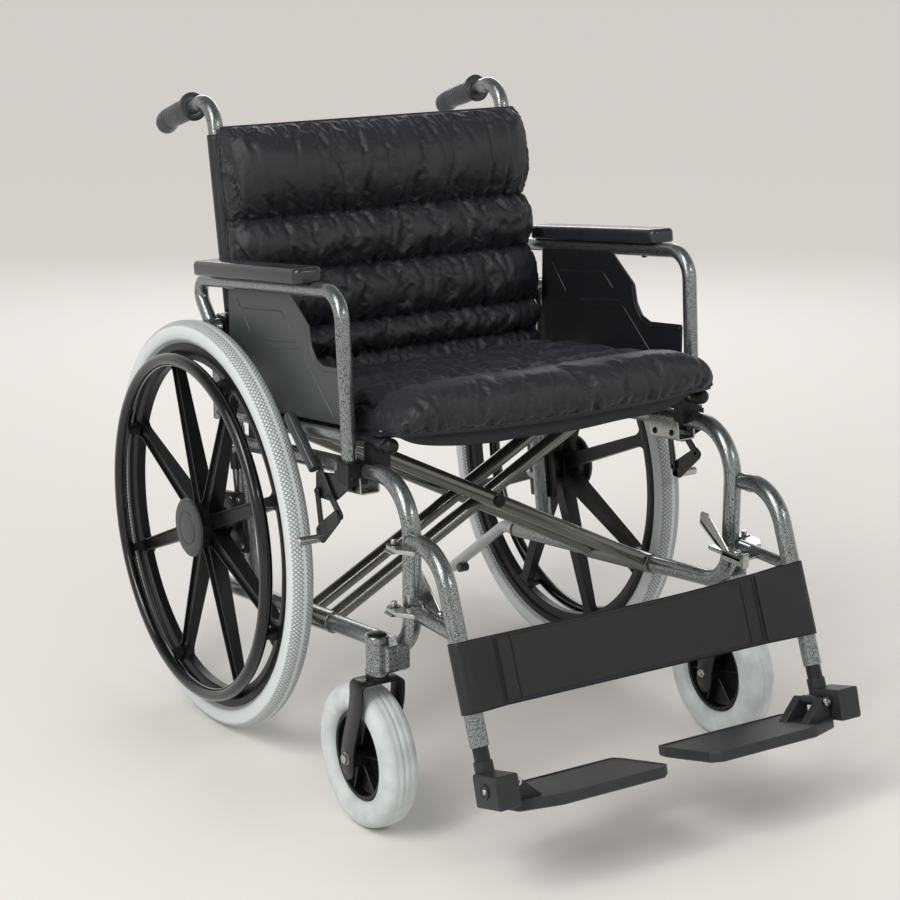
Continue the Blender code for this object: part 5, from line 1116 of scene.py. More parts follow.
CLAMP_SEAT = hanger_point(0.134)


def extension_tube():
    """Inner tube of the telescope with its catch button."""
    tube = pipe((hanger_point(HANGER_END) - HANGER_DOWN * EXTENSION_REACH, CLAMP_SEAT), EXTENSION_RADIUS)
    place = hanger_point(0.1640) + HANGER_FRONT * (EXTENSION_RADIUS - 0.0003)
    return joined(tube, screw(place, HANGER_FRONT, 0.0030, 0.0011))


def foot_clamp():
    """Clamp block, its sleeve round the telescope, its hinge lug and the round disc of its clamping screw."""
    corners = ((CLAMP_X[0], -0.028), (CLAMP_X[1], -0.028), (CLAMP_X[1], 0.0145), (CLAMP_X[0], 0.0145))
    lug = ((FOOT_HINGE[0], -0.0060), (CLAMP_X[0] + 0.004, -0.0060), (CLAMP_X[0] + 0.004, 0.0060),
           (FOOT_HINGE[0], 0.0060))
    sleeve = pipe((CLAMP_SEAT - HANGER_DOWN * 0.040, CLAMP_SEAT + HANGER_DOWN * 0.002), 0.0125)
    hinge = foot_point(FOOT_HINGE[0], 0.0, 0.0)
    return joined(
        plate(rounded(corners, 0.0030), eased(-0.040, 0.015, 0.0014), FOOT_ORIGIN, ALONG_AXES), sleeve,
        plate(rounded(lug, 0.0010), eased(-0.052, -0.022, 0.0008), FOOT_ORIGIN, ALONG_AXES),
        turned([(-0.052, 0.0041), (-0.052, 0.0062), (-0.0514, 0.0068), (-0.0226, 0.0068), (-0.022, 0.0062),
                (-0.022, 0.0041)], hinge, FOOT_AHEAD, 28, ring=True),
        turned([(0.0, 0.0098), (0.0058, 0.0098), (0.0065, 0.0091), (0.0065, 0.0073), (0.0054, 0.0066),
                (0.0054, 0.0003)], foot_point(CLAMP_X[1] - 0.004, -0.0133, -0.005), ACROSS, 32))


def foot_clamp_screw():
    """Socket screw in the middle of the disc."""
    return screw(foot_point(CLAMP_X[1] + 0.0010, -0.0133, -0.005), ACROSS, 0.0042, 0.0024)


def footplate_bolt():
    """Hinge bolt: shank, round head with a washer face, and its socket."""
    hinge = foot_point(FOOT_HINGE[0], 0.0, 0.0)
    return turned([(-0.0710, 0.0028), (-0.0704, 0.0035), (-0.0045, 0.0035), (-0.0045, 0.0060), (-0.0008, 0.0060),
                   (0.0, 0.0052), (0.0, 0.0026), (-0.0020, 0.0024), (-0.0020, 0.0003)], hinge, FOOT_AHEAD, 24)


def footplate():
    """Moulded plate with a raised lip round a sunk top, and the two gussets that rise to its hinge."""
    top, low, edge = -FOOT_DROP, -FOOT_DROP - FOOT_THICKNESS, CLAMP_X[0] - 0.0015
    outline = rounded(((FOOT_INNER + 0.004, FOOT_REAR), (edge - 0.008, FOOT_REAR), (edge, FOOT_REAR + 0.010),
                       (edge, FOOT_FRONT - 0.026), (0.205, FOOT_FRONT), (FOOT_INNER + 0.014, FOOT_FRONT),
                       (FOOT_INNER, FOOT_FRONT - 0.014), (FOOT_INNER, FOOT_REAR + 0.020)),
                      (0.003, 0.004, 0.004, 0.006, 0.010, 0.004, 0.004, 0.006), 5)
    levels = [(low, 0.0030, 1.0), (low + 0.0008, 0.0012, 1.0), (low + 0.0024, 0.0, 1.0), (top - 0.0012, 0.0, 1.0),
              (top - 0.0003, 0.0004, 1.0), (top, 0.0012, 1.0), (top, 0.0026, 1.0), (top - 0.0004, 0.0034, 1.0),
              (top - 0.0014, 0.0040, 1.0), (top - 0.0016, 0.0048, 1.0)]
    parts = [plate(outline, levels, FOOT_ORIGIN, FOOT_AXES)]
    wedge = rounded(((0.212, top - 0.004), (edge, top - 0.004), (edge - 0.0005, 0.0),
                     (FOOT_HINGE[0] + 0.0042, 0.0045), (FOOT_HINGE[0] - 0.004, 0.0060)),
                    (0.0015, 0.0015, 0.0015, 0.003, 0.003), 4)
    for low_along, high_along in ((-0.068, -0.0525), (-0.0215, -0.0060)):
        parts.append(plate(wedge, eased(low_along, high_along, 0.0010), FOOT_ORIGIN, ALONG_AXES))
    return joined(*parts)


paired("hanger_tube", hanger(), HAMMERTONE, "legrest", ("hanger",))
paired("hanger_tongues", hanger_tongues(), ZINC, "legrest", ())
paired("latch_paddle", latch_lever(), ZINC, "latch", ("latch_lever",))
paired("telescope_tube", extension_tube(), BLACK_PLATE, "extension", ("extension_tube",))
paired("footrest_clamp", foot_clamp(), FOOT_PLASTIC, "extension", ("foot_clamp",))
paired("footrest_clamp_screw", foot_clamp_screw(), STEEL, "extension", ())
paired("footplate_bolt", footplate_bolt(), STEEL, "foot", ("footplate_pin",))
paired("footplate_moulding", footplate(), FOOT_PLASTIC, "foot", ("footplate",))


# Blocks on the frame

refined("rear_saddle", BLACK_PLASTIC)
refined("arm_socket", BLACK_PLASTIC, 0.0026)
refined("arm_clamp", BLACK_PLASTIC, 0.0012)


def socket_trim():
    """Collar round the armrest's post over its socket, and the socket's two bolts."""
    foot_y, foot_z = ARM_POST_FOOT
    collar = turned([(0.0, 0.0108), (0.0, 0.0148), (0.0026, 0.0148), (0.0040, 0.0136), (0.0040, 0.0108)],
                    (ARM_X, foot_y, foot_z - 0.0016), UPWARDS, 32, ring=True)
    bolts = [screw((x, foot_y - 0.0149, sloped(UPPER_HEIGHT, foot_y) - 0.0065), (0, -1, 0), 0.0042, 0.0026)
             for x in (0.2735, 0.2885)]
    return joined(collar, *bolts)


def on_tube(y, aside, above):
    """Place beside the upper side tube at y: so far to the outside of its centre line, and so far above it."""
    return np.array([FRAME_X + aside, y, sloped(UPPER_HEIGHT, y)]) + SEAT_UP * above


TUBE_AXES = np.array([(1.0, 0.0, 0.0), SEAT_UP, SEAT_AHEAD])


def lock_clamp():
    """Folded channel under the upper tube that holds the wheel lock: a U outline carried along the tube."""
    channel = rounded([(-0.0152, 0.003), (-0.0152, -0.0310), (0.0152, -0.0310), (0.0152, 0.003),
                       (0.0130, 0.003), (0.0130, -0.0288), (-0.0130, -0.0288), (-0.0130, 0.003)],
                      (0.0008, 0.0035, 0.0035, 0.0008, 0.0008, 0.0016, 0.0016, 0.0008), 3)
    return plate(channel, eased(-0.034, 0.036, 0.0004), on_tube(-0.358, 0.0, 0.0), TUBE_AXES)


def lock_side_plate():
    """Plate that carries the lock's two pivots, its bent flange on the channel, and the pivots' shouldered pins."""
    outline = rounded([(-0.394, sloped(UPPER_HEIGHT, -0.394) - 0.020), (-0.388, sloped(UPPER_HEIGHT, -0.388) - 0.003),
                       (-0.303, sloped(UPPER_HEIGHT, -0.303) - 0.006), (-0.302, 0.4265), (-0.314, 0.4225),
                       (-0.351, 0.4262), (-0.364, 0.4335)], (0.006, 0.004, 0.004, 0.005, 0.008, 0.008, 0.008), 5)
    middle = on_tube(-0.352, 0.0, 0.0)
    parts = [plate(outline, eased(0.2924, 0.2956, 0.0005), axes=SIDE_AXES),
             block(middle, TUBE_AXES, (0.0150, -0.0125, -0.040), (0.0300, -0.0095, 0.034), 0.0006),
             block(middle, TUBE_AXES, (0.0128, -0.0220, -0.040), (0.0158, -0.0095, 0.034), 0.0006)]
    for y, z in (LOCK_LEVER_PIVOT, LOCK_LINK_PIVOT):
        shoulder = [(-0.0040, 0.0003), (-0.0040, 0.0052), (-0.0032, 0.0060), (0.0005, 0.0060), (0.0005, 0.0030),
                    (0.0076, 0.0030), (0.0076, 0.0003)]
        parts.append(turned(shoulder, (0.2924, y, z), ACROSS, 20))
    return joined(*parts)


# Wheel locks

LEVER_X, LOCK_PLATE_X = (0.2968, 0.3000), (0.3004, 0.3040)
LOCK_LEVER_PIVOT, LOCK_LEVER_END = (-0.349, 0.436), (-0.376, 0.414)
LOCK_LINK_PIVOT, LOCK_LINK_END, LOCK_SHOE = (-0.312, 0.432), (-0.323, 0.381), (-0.326, 0.370)


def lock_bar(start, end, width):
    """Flat bar of the wheel lock between two of its points."""
    return plate(link_outline(start, end, width), eased(*LEVER_X, 0.0005), axes=SIDE_AXES)


def lock_pin(place):
    """Pin at the lower end of a bar, through the shoe's plate."""
    return turned([(0.0, 0.0030), (LOCK_PLATE_X[1] + 0.001 - LEVER_X[0], 0.0030)], (LEVER_X[0], *place), ACROSS, 16)


def lock_lever():
    """Flat cranked arm from the shoe's pin past its pivot up to the grip."""
    return joined(lock_bar(LOCK_LEVER_END, LOCK_LEVER_PIVOT, 0.012),
                  lock_bar(LOCK_LEVER_PIVOT, (-0.310, 0.4765), 0.012), lock_pin(LOCK_LEVER_END))


def lock_grip():
    """Rubber grip with ten lengthwise flutes, thinner at its foot, with a round smooth end.

    Its section is a circle whose radius follows a cosine of the angle, carried along a straight line."""
    low, top = np.array([0.3075, -0.322, 0.4666]), np.array([0.3075, -0.2480, 0.5290])
    reach = float(np.linalg.norm(top - low))
    along = np.concatenate([[0.0, 0.0006], np.linspace(0.002, reach - 0.009, 12), reach - 0.009 * (
        1 - np.sin(np.linspace(0.15, 1.55, 9)))])
    size = (0.0078 + 0.0010 * np.clip(along / 0.05, 0, 1)) * np.sqrt(
        np.clip(1 - (np.clip(along - reach + 0.009, 0, None) / 0.0091) ** 2, 0.0006, 1))
    size[0] = 0.0066
    angle = np.linspace(0, 2 * math.pi, 60, endpoint=False)
    flute = np.clip(np.minimum(along - 0.003, reach - 0.014 - along) / 0.004, 0, 1)[:, None]
    radius = size[:, None] * (1 + 0.055 * flute * (np.abs(np.cos(angle * 5)) ** 0.6 - 0.6)[None])
    section = np.stack([radius * np.cos(angle), radius * np.sin(angle)], -1)
    return swept(low + (top - low) * (along / reach)[:, None], section)


def lock_link():
    """Short link with its lower pin."""
    return joined(lock_bar(LOCK_LINK_END, LOCK_LINK_PIVOT, 0.011), lock_pin(LOCK_LINK_END))


def lock_shoe():
    """Coupler plate and the round bar that presses on the tread."""
    (end_y, end_z), (link_y, link_z) = LOCK_LEVER_END, LOCK_LINK_END
    outline = rounded(((end_y - 0.007, end_z), (end_y - 0.004, end_z - 0.008), (link_y - 0.012, link_z - 0.016),
                       (link_y + 0.004, link_z - 0.016), (link_y + 0.007, link_z), (link_y, link_z + 0.008),
                       (end_y + 0.004, end_z + 0.008)), (0.004, 0.003, 0.004, 0.004, 0.004, 0.003, 0.004), 4)
    bar_end = WHEEL_X + TYRE_HALF + 0.004
    return (plate(outline, eased(*LOCK_PLATE_X, 0.0005), axes=SIDE_AXES),
            turned([(LOCK_PLATE_X[0], 0.0060), (bar_end - 0.001, 0.0060), (bar_end, 0.0050), (bar_end, 0.0003)],
                   (0.0, *LOCK_SHOE), ACROSS, 24))


def lock_rivets():
    """Heads of the bracket's pins and of its two clamping screws."""
    parts = [screw((LEVER_X[1] + 0.0001, *pivot), ACROSS, 0.0050, 0.0022)
             for pivot in (LOCK_LEVER_PIVOT, LOCK_LINK_PIVOT)]
    for y in (-0.378, -0.338):
        parts.append(screw(on_tube(y, -0.0150, -0.0205), (-1, 0, 0), 0.0050, 0.0030))
        parts.append(screw(on_tube(y, 0.0150, -0.0255), ACROSS, 0.0040, 0.0024))
    return joined(*parts)


paired("lock_lever_arm", lock_lever(), BLACK_PLATE, "lock_lever", ("brake_lever",))
paired("lock_lever_grip", lock_grip(), GRIP_RUBBER, "lock_lever", (), 50.0)
paired("lock_link_plate", lock_link(), BLACK_PLATE, "lock_link", ("brake_link",))
shoe_plate, shoe_bar = lock_shoe()
paired("arm_socket_trim", socket_trim(), BLACK_PLASTIC, "frame", ())
paired("lock_clamp_channel", lock_clamp(), ZINC, "frame", ("brake_bracket",))
paired("lock_side_plate", lock_side_plate(), BLACK_PLATE, "frame", ())
paired("lock_shoe_plate", shoe_plate, BLACK_PLATE, "lock_shoe", ("brake_shoe",))
paired("lock_shoe_bar", shoe_bar, ZINC, "lock_shoe", ())
paired("lock_rivets", lock_rivets(), BLACK_PLATE, "frame", ())


# Anti-tip tube

def anti_tip():
    """Bent satin tube in the left lower tube, its collar and round rubber foot, and its catch button."""
    start = np.array([FRAME_X, 0.005, sloped(LOWER_HEIGHT, 0.005)])
    elbow = np.array([FRAME_X, 0.088, sloped(LOWER_HEIGHT, 0.088)])
    end = np.array([FRAME_X, 0.250, 0.066])
    run = unit(end - elbow)
    foot = end - run * 0.032 + np.array([0.0, run[2], -run[1]]) * 0.0125
    back = -SEAT_AHEAD
    collar = np.array([FRAME_X, LOWER_END_Y + 0.001, sloped(LOWER_HEIGHT, LOWER_END_Y + 0.001)])
    wheel = turned([(-0.009, 0.0003), (-0.009, 0.0068), (-0.0078, 0.0080), (0.0078, 0.0080), (0.009, 0.0068),
                    (0.009, 0.0003)], foot, ACROSS, 28)
    ring = turned([(0.0, 0.0096), (0.0, 0.0118), (0.0007, 0.0125), (0.0053, 0.0125), (0.0060, 0.0118),
                   (0.0060, 0.0096)], collar, back, 28, ring=True)
    side = np.array([FRAME_X, 0.0, 0.0]) + (elbow + run * 0.010) * (0.0, 1.0, 1.0)
    return (pipe(bent((start, elbow, end), (0.030,), 16), 0.0095), joined(wheel, ring),
            screw(side + np.array([0.0093, 0.0, 0.0]), ACROSS, 0.0035, 0.0012))


tip_tube, tip_rubber, tip_button = anti_tip()
placed("anti_tip_tube", tip_tube, SATIN_TUBE, "frame_left", ("anti_tip",))
placed("anti_tip_rubber", tip_rubber, GRIP_RUBBER, "frame_left", ())
placed("anti_tip_button", tip_button, BLACK_PLATE, "frame_left", ())


# Upholstery

def shell(front, back):
    """Closed surface of two grids that share their outer ring, which the back grid takes from the front one."""
    rows, columns = front.shape[:2]
    behind = np.arange(rows * columns).reshape(rows, columns)
    behind[1:-1, 1:-1] = rows * columns + np.arange((rows - 2) * (columns - 2)).reshape(rows - 2, columns - 2)
    points = np.concatenate([front.reshape(-1, 3), back[1:-1, 1:-1].reshape(-1, 3)])
    quads = grid_quads(rows, columns)
    return outward(points, np.concatenate([quads, behind.reshape(-1)[quads][:, ::-1]]), [])


def rim_of(grid):
    """Outer ring of a grid, once round."""
    return np.concatenate([grid[0, :-1], grid[:-1, -1], grid[-1, :0:-1], grid[:0:-1, 0]])


def sheet_object(name, grids, body, stands_for, thickness, cloth=NYLON):
    """Cloth of one or more open grids of points, thickened by a modifier."""
    points, quads, start = [], [], 0
    for grid in grids:
        points.append(grid.reshape(-1, 3))
        quads.append(grid_quads(*grid.shape[:2]) + start)
        start += grid.shape[0] * grid.shape[1]
    made = placed(name, (np.concatenate(points), np.concatenate(quads), []), cloth, body, stands_for, 60.0)
    wall = made.modifiers.new("cloth", "SOLIDIFY")
    wall.thickness, wall.offset, wall.use_even_offset = thickness, 0.0, False
    return made


def fold_flat(piece):
    """Gives the piece its own copy of its mesh."""
    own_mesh(piece)


def seat_sling():
    """Seat sheet: over one rail, slack across, over the other, then down in a band at the front edge.

    Across, the sheet is an arc round each rail and a half sine of slack between them. Forwards it follows the
    seat's slope and turns down, least near the rails, with shallow waves along its lower edge."""
    radius = RAIL_RADIUS + CLOTH_GAP + SLING / 2
    turn = np.radians(np.linspace(162.0, 90.0, 9))
    share = np.linspace(0, 1, 63)[1:-1]
    right = np.column_stack([-RAIL_X + radius * np.cos(turn), radius * np.sin(turn)])
    middle = np.column_stack([-RAIL_X + 2 * RAIL_X * share, radius - SLING_SAG * np.sin(math.pi * share)])
    section = np.concatenate([right, middle, right[::-1] * (-1.0, 1.0)])
    x, up = section.T
    y = np.linspace(RAIL_REAR - 0.004, RAIL_FRONT + 0.004, 60)[:, None]
    top = np.stack(np.broadcast_arrays(x, y + up * math.sin(SEAT_TILT),
                                       sloped(RAIL_HEIGHT, y) + up * math.cos(SEAT_TILT)), -1)
    inner = np.clip(1 - np.abs(x / 0.2435) ** 8, 0, 1)
    turn = np.linspace(0.15, 1.0, 8)[:, None]
    drop = 0.0195 * inner * (1 + 0.05 * np.sin(x * 41.0)) * turn
    out = -0.0030 * np.sin(turn * math.pi * 0.75) * inner
    apron = top[-1] + np.stack([0 * drop, out + 0 * drop, -drop], -1)
    return [np.concatenate([top, apron])]


def back_sheet():
    """Back sheet in front of the canes with a pocket round each, cut away low down where the arm clamps sit.

    Its section is a straight line between two arcs round the canes; it rises along the canes' lean."""
    radius = CANE_RADIUS + CLOTH_GAP + SLING / 2
    turn = np.radians(np.linspace(-176.0, 90.0, 34))
    pocket = np.column_stack([CANE_X + radius * np.cos(turn), radius * np.sin(turn)])
    share = np.linspace(1, -1, 62)[1:-1]
    panel = np.column_stack([CANE_X * share, np.full(60, radius)])
    section = np.concatenate([pocket, panel, pocket[::-1] * (-1.0, 1.0)])
    foot = np.array([0.0, upright_y(BACK_BOTTOM), BACK_BOTTOM])
    total = sum(BACK_ROLLS)
    cut = (ARM_HINGE[1] + 0.020 - BACK_BOTTOM) * math.hypot(1.0, UPRIGHT_LEAN)

    def risen(section, low, high, rows):
        height = np.linspace(low, high, rows)[:, None, None]
        across = np.stack([section[:, 0], 0 * section[:, 0], 0 * section[:, 0]], -1)[None]
        return foot + height * BACK_UP + across + section[None, :, 1:] * BACK_AHEAD

    flat = panel[np.abs(panel[:, 0]) < CANE_X - 0.0165]
    return [risen(section, cut, total - 0.008, 40), risen(flat, 0.018, cut, 24)]


def calf_band():
    """Webbing band behind the two hangers, with a pocket round each that is sewn down on the band's front.

    Its section is a straight line between the tubes, an arc round each tube from the rear over the outer side to
    the front, and a straight line from there back to the band. It lies along the hangers' slope."""
    radius = HANGER_RADIUS + CLOTH_GAP + SLING / 2
    turn = np.radians(np.linspace(-115.0, 90.0, 30))
    loop = np.column_stack([HANGER_X + radius * np.cos(turn), radius * np.sin(turn)])
    sewn = np.array([0.2134, radius - 0.0024])
    lead = sewn + np.linspace(0, 1, 9)[:-1, None] * (loop[0] - sewn)
    share = np.linspace(1, -1, 82)[1:-1]
    middle = np.column_stack([HANGER_X * share, radius + STRAP_WAVE * np.cos(share * math.pi * 1.5)])
    ends = np.concatenate([lead, loop])
    section = np.concatenate([ends, middle, ends[::-1] * (-1.0, 1.0)])
    rise = np.clip(section[:, 0] / HANGER_X, 0, 1) ** 2 * STRAP_RISE
    share = np.linspace(0, 1, 26)[:, None]
    z = STRAP_BOTTOM + (STRAP_TOP - STRAP_BOTTOM + rise) * share
    y = hanger_y(z)
    return [np.stack(np.broadcast_arrays(section[:, 0], y + section[:, 1] * math.cos(HANGER_LEAN),
                                         z - section[:, 1] * math.sin(HANGER_LEAN)), -1)]


def band_seams():
    """Stitched doublings of the calf band: two upright strips near each end and a hem along both edges.

    Each strip is a flat oval carried along its line, 0.4 mm proud of the band's front."""
    radius = HANGER_RADIUS + CLOTH_GAP + SLING
    ahead = np.array([0.0, math.cos(HANGER_LEAN), -math.sin(HANGER_LEAN)])

    def on_band(x, z):
        y = hanger_y(z)
        back = radius - SLING + STRAP_WAVE * np.cos(x / HANGER_X * math.pi * 1.5)
        return np.stack([x, y, z], -1) + (back - SLING / 2 - 0.0002)[:, None] * ahead

    strips = []
    for x in (-0.209, -0.188, 0.188, 0.209):
        rise = max(x / HANGER_X, 0.0) ** 2 * STRAP_RISE
        z = np.linspace(STRAP_BOTTOM + 0.001, STRAP_TOP + rise - 0.001, 12)
        strips.append(swept(on_band(np.full(12, x), z), circle(0.0014, 8) * (1.0, 0.35), ahead))
    for share in (0.035, 0.965):
        x = np.linspace(-0.255, 0.255, 60)
        z = STRAP_BOTTOM + (STRAP_TOP - STRAP_BOTTOM + np.clip(x / HANGER_X, 0, 1) ** 2 * STRAP_RISE) * share
        strips.append(swept(on_band(x, z), circle(0.0016, 8) * (1.0, 0.35), ahead))
    return joined(*strips)


def corner_tabs():
    """Flat layered ends of the seat sheet's front hem over the left rail, and the rivet that holds them."""
    ahead, up = SEAT_AHEAD, SEAT_UP
    top = np.array([RAIL_X, RAIL_FRONT + 0.030, sloped(RAIL_HEIGHT, RAIL_FRONT + 0.030)]) + up * 0.0138
    axes = np.array([(1.0, 0.0, 0.0), ahead, up])
    low = rounded([(-0.060, 0.004), (0.012, -0.008), (0.014, 0.024), (-0.012, 0.034), (-0.066, 0.030)], 0.006)
    high = rounded([(-0.050, 0.002), (0.010, -0.004), (0.012, 0.018), (-0.014, 0.036), (-0.054, 0.034)], 0.006)
    tabs = joined(plate(low, eased(0.0, 0.0020, 0.0005), top, axes),
                  plate(high, eased(0.0022, 0.0042, 0.0005), top, axes))
    return tabs, screw(top + up * 0.0042 + ahead * 0.006, up, 0.0040, 0.0014)


def spread(value, power):
    """Even steps drawn towards both ends."""
    return np.copysign(1 - (1 - np.abs(value)) ** power, value)


def seat_pillow():
    """Seat cushion: rows of points over its top and along its underside, and the rows that are sewn down.

    A row runs side to side. From the seam at the lower front edge the rows go round a half-round nose, back over
    the top and down a smaller round at the rear. Its height fades at the sides with a power of the distance, the
    sewn rows lie in shallow channels, and the underside follows the sling's slack."""
    nose = np.radians(np.linspace(-68.0, 90.0, 23))
    tail = np.radians(np.linspace(90.0, 0.0, 13))[1:]
    front, rear, height = SEAT_FRONT + 0.034, SEAT_REAR - 0.022, 0.90 * SEAT_THICKNESS
    y = np.concatenate([front - 0.032 * np.cos(nose), np.linspace(front, rear, 74)[1:],
                        rear + 0.022 * np.cos(tail)])
    up = np.concatenate([0.030 + (height - 0.030) * np.sin(nose), np.full(73, height),
                         0.026 + (height - 0.026) * np.sin(tail)])
    sewn = 22 + np.array([18, 34, 50, 66])
    rows = np.arange(y.size)
    away = np.abs(rows[:, None] - sewn[None]).min(axis=1)
    up = up - 0.012 * np.exp(-(away / 4.0) ** 2)
    across = spread(np.linspace(-1, 1, CUSHION_COLUMNS), 1.25)
    x = SEAT_HALF * across
    full = (1 - np.abs(across) ** 9) ** 0.5
    base = sloped(RAIL_HEIGHT, y) + RAIL_RADIUS + SLING + PAD_GAP
    slack = SLING_SAG * np.cos(math.pi * x / (2 * RAIL_X))
    top = base[:, None] + 0.007 + (up - 0.007)[:, None] * full - slack * 0.8
    flat = np.concatenate([np.linspace(y[0], y[22], 23), y[23:-13], np.linspace(y[-13], y[-1], 13)])
    y_top = flat[:, None] + (y - flat)[:, None] * np.clip(1.25 * full, 0, 1)
    upper = np.stack([np.broadcast_to(x, top.shape), y_top, top], -1)
    under_y = np.linspace(y[0], y[-1], y.size)
    under = sloped(RAIL_HEIGHT, under_y)[:, None] + RAIL_RADIUS + SLING + PAD_GAP - slack
    lower = np.stack([np.broadcast_to(x, top.shape), np.broadcast_to(under_y[:, None], top.shape), under], -1)
    return upper, lower, sewn


def back_pillow():
    """Back cushion of five stuffed rolls: its depth is a low power of a sine over each roll's height.

    The side seams lie near the flat back, and the rows between two rolls are sewn down."""
    total = sum(BACK_ROLLS)
    edges = np.concatenate([[0.0], np.cumsum(BACK_ROLLS)])
    counts = np.round(np.asarray(BACK_ROLLS) / 0.0033).astype(int)
    pieces = []
    for low, high, count in zip(edges[:-1], edges[1:], counts):
        part = np.linspace(0, 1, count + 1)[:-1]
        pieces.append(low + (high - low) * (part - 0.055 * np.sin(2 * math.pi * part)))
    height = np.concatenate(pieces + [[total]])
    sewn = np.cumsum(counts)[:-1]
    index = np.clip(np.searchsorted(edges, height, side="right") - 1, 0, 4)
    part = np.clip((height - edges[index]) / np.asarray(BACK_ROLLS)[index], 0, 1)
    full = np.sin(math.pi * part) ** 0.5
    end = np.minimum(1.0, np.minimum(np.sqrt(height / 0.016), (np.clip(total - height, 0, 1) / 0.014) ** 0.42))
    across = spread(np.linspace(-1, 1, CUSHION_COLUMNS), 1.3)
    edge = np.sqrt(1 - np.abs(across) ** 9)
    x = BACK_HALF * across * (0.968 + 0.032 * full[:, None])
    clear = CANE_RADIUS + SLING + PAD_GAP + BACK_THICKNESS * 0.16
    front = clear + BACK_THICKNESS * 0.80 * edge * (end * (0.50 + 0.50 * full))[:, None]
    back = clear - BACK_THICKNESS * 0.16 * np.clip(end * 1.5, 0, 1)[:, None] * (
        1 - np.clip(np.abs(x) / (CANE_X - CANE_RADIUS), 0, 1) ** 8)
    foot = np.array([0.0, upright_y(BACK_BOTTOM), BACK_BOTTOM])
    spine = foot + height[:, None, None] * BACK_UP + np.stack([x, 0 * x, 0 * x], -1)
    return spine + front[..., None] * BACK_AHEAD, spine + back[..., None] * BACK_AHEAD, sewn


def stuffed(front, sewn, spare, pressure, cap, seed):
    """Front grid of a cushion, swollen and wrinkled with Blender's Cloth.

    The grid is closed by a fan behind it. Its rim and the sewn rows are held, and its spare fabric puckers along
    them under the pressure. A point moves by the cap at most."""
    rows, columns = front.shape[:2]
    rest = front.reshape(-1, 3)
    index = np.arange(rows * columns).reshape(rows, columns)
    held = np.zeros((rows, columns), bool)
    held[0], held[-1], held[:, 0], held[:, -1], held[sewn] = True, True, True, True, True
    start = rest + np.random.default_rng(seed).normal(0.0, 0.0002, rest.shape) * ~held.reshape(-1, 1)
    rim = rim_of(index)
    behind = np.stack([rim, np.roll(rim, -1), np.full(rim.size, rest.shape[0])], -1)
    quads = grid_quads(rows, columns)
    mesh = bpy.data.meshes.new("swelling")
    mesh.from_pydata(start.tolist() + [rest[rim].mean(axis=0).tolist()], [], quads.tolist() + behind.tolist())
    piece = linked("swelling", mesh)
    builder = bmesh.new()
    builder.from_mesh(mesh)
    bmesh.ops.recalc_face_normals(builder, faces=builder.faces)
    builder.to_mesh(mesh)
    builder.free()
    group = piece.vertex_groups.new(name="held")
    group.add(np.flatnonzero(held).tolist() + [rest.shape[0]], 1.0, "REPLACE")
    cloth = piece.modifiers.new("cloth", "CLOTH")
    cloth.point_cache.frame_start, cloth.point_cache.frame_end = 1, 30
    cloth.collision_settings.use_collision = False
    settings = cloth.settings
    settings.quality, settings.mass, settings.air_damping = 5, 0.12, 2.0
    settings.tension_stiffness = settings.compression_stiffness = 18.0
    settings.shear_stiffness, settings.bending_stiffness = 8.0, 0.6
    settings.vertex_group_mass = "held"
    settings.shrink_min = settings.shrink_max = -spare
    settings.use_pressure, settings.uniform_pressure_force = True, pressure
    settings.effector_weights.gravity = 0.0
    for step in range(1, SWELLING_FRAMES + 1):
        bpy.context.scene.frame_set(step)
    swollen = piece.evaluated_get(bpy.context.evaluated_depsgraph_get()).data
    points = np.empty(len(swollen.vertices) * 3)
    swollen.vertices.foreach_get("co", points)
    moved = points.reshape(-1, 3)[:rest.shape[0]] - rest
    length = np.linalg.norm(moved, axis=1, keepdims=True) + 1e-9
    bpy.data.objects.remove(piece)
    bpy.context.scene.frame_set(1)
    return (rest + moved / length * cap * np.tanh(length / cap)).reshape(front.shape)


def doubled(grid):
    """Finer grid: a row and a column midway between each two, by the four-point rule of -1, 9, 9, -1 sixteenths."""
    for axis in (0, 1):
        grid = np.moveaxis(grid, axis, 0)
        wide = np.concatenate([2 * grid[:1] - grid[1:2], grid, 2 * grid[-1:] - grid[-2:-1]])
        finer = np.empty((2 * len(grid) - 1,) + grid.shape[1:])
        finer[::2], finer[1::2] = grid, (9 * (wide[1:-2] + wide[2:-1]) - wide[:-3] - wide[3:]) / 16
        grid = np.moveaxis(finer, 0, axis)
    return grid


def gathers(seams, half, reach, seed):
    """Lines of the creases that fan out from the seams, and of a few long slack folds across the rolls.

    A line is its two ends on the cloth, as distance aside and distance along, its width and its depth."""
    draw = np.random.default_rng(seed)
    lines = []
    for seam, room in seams:
        x = -half + draw.uniform(0.006, 0.02)
        while x < half - 0.006:
            length = abs(room) * draw.uniform(0.25, 0.80)
            lines.append((x, seam, x + draw.uniform(-0.30, 0.30) * length, seam + math.copysign(length, room),
                          draw.uniform(0.0034, 0.0056), draw.uniform(0.0018, 0.0052)))
            x += draw.uniform(0.020, 0.052)
    for low, high, count in reach:
        for _ in range(count):
            x, lean = draw.uniform(-half * 0.85, half * 0.85), draw.uniform(-0.11, 0.11)
            ends = np.sort(draw.uniform(low, high, 2))
            lines.append((x - lean, ends[0], x + lean, ends[1], draw.uniform(0.0045, 0.0075),
                          draw.uniform(0.0012, 0.0028)))
    return lines


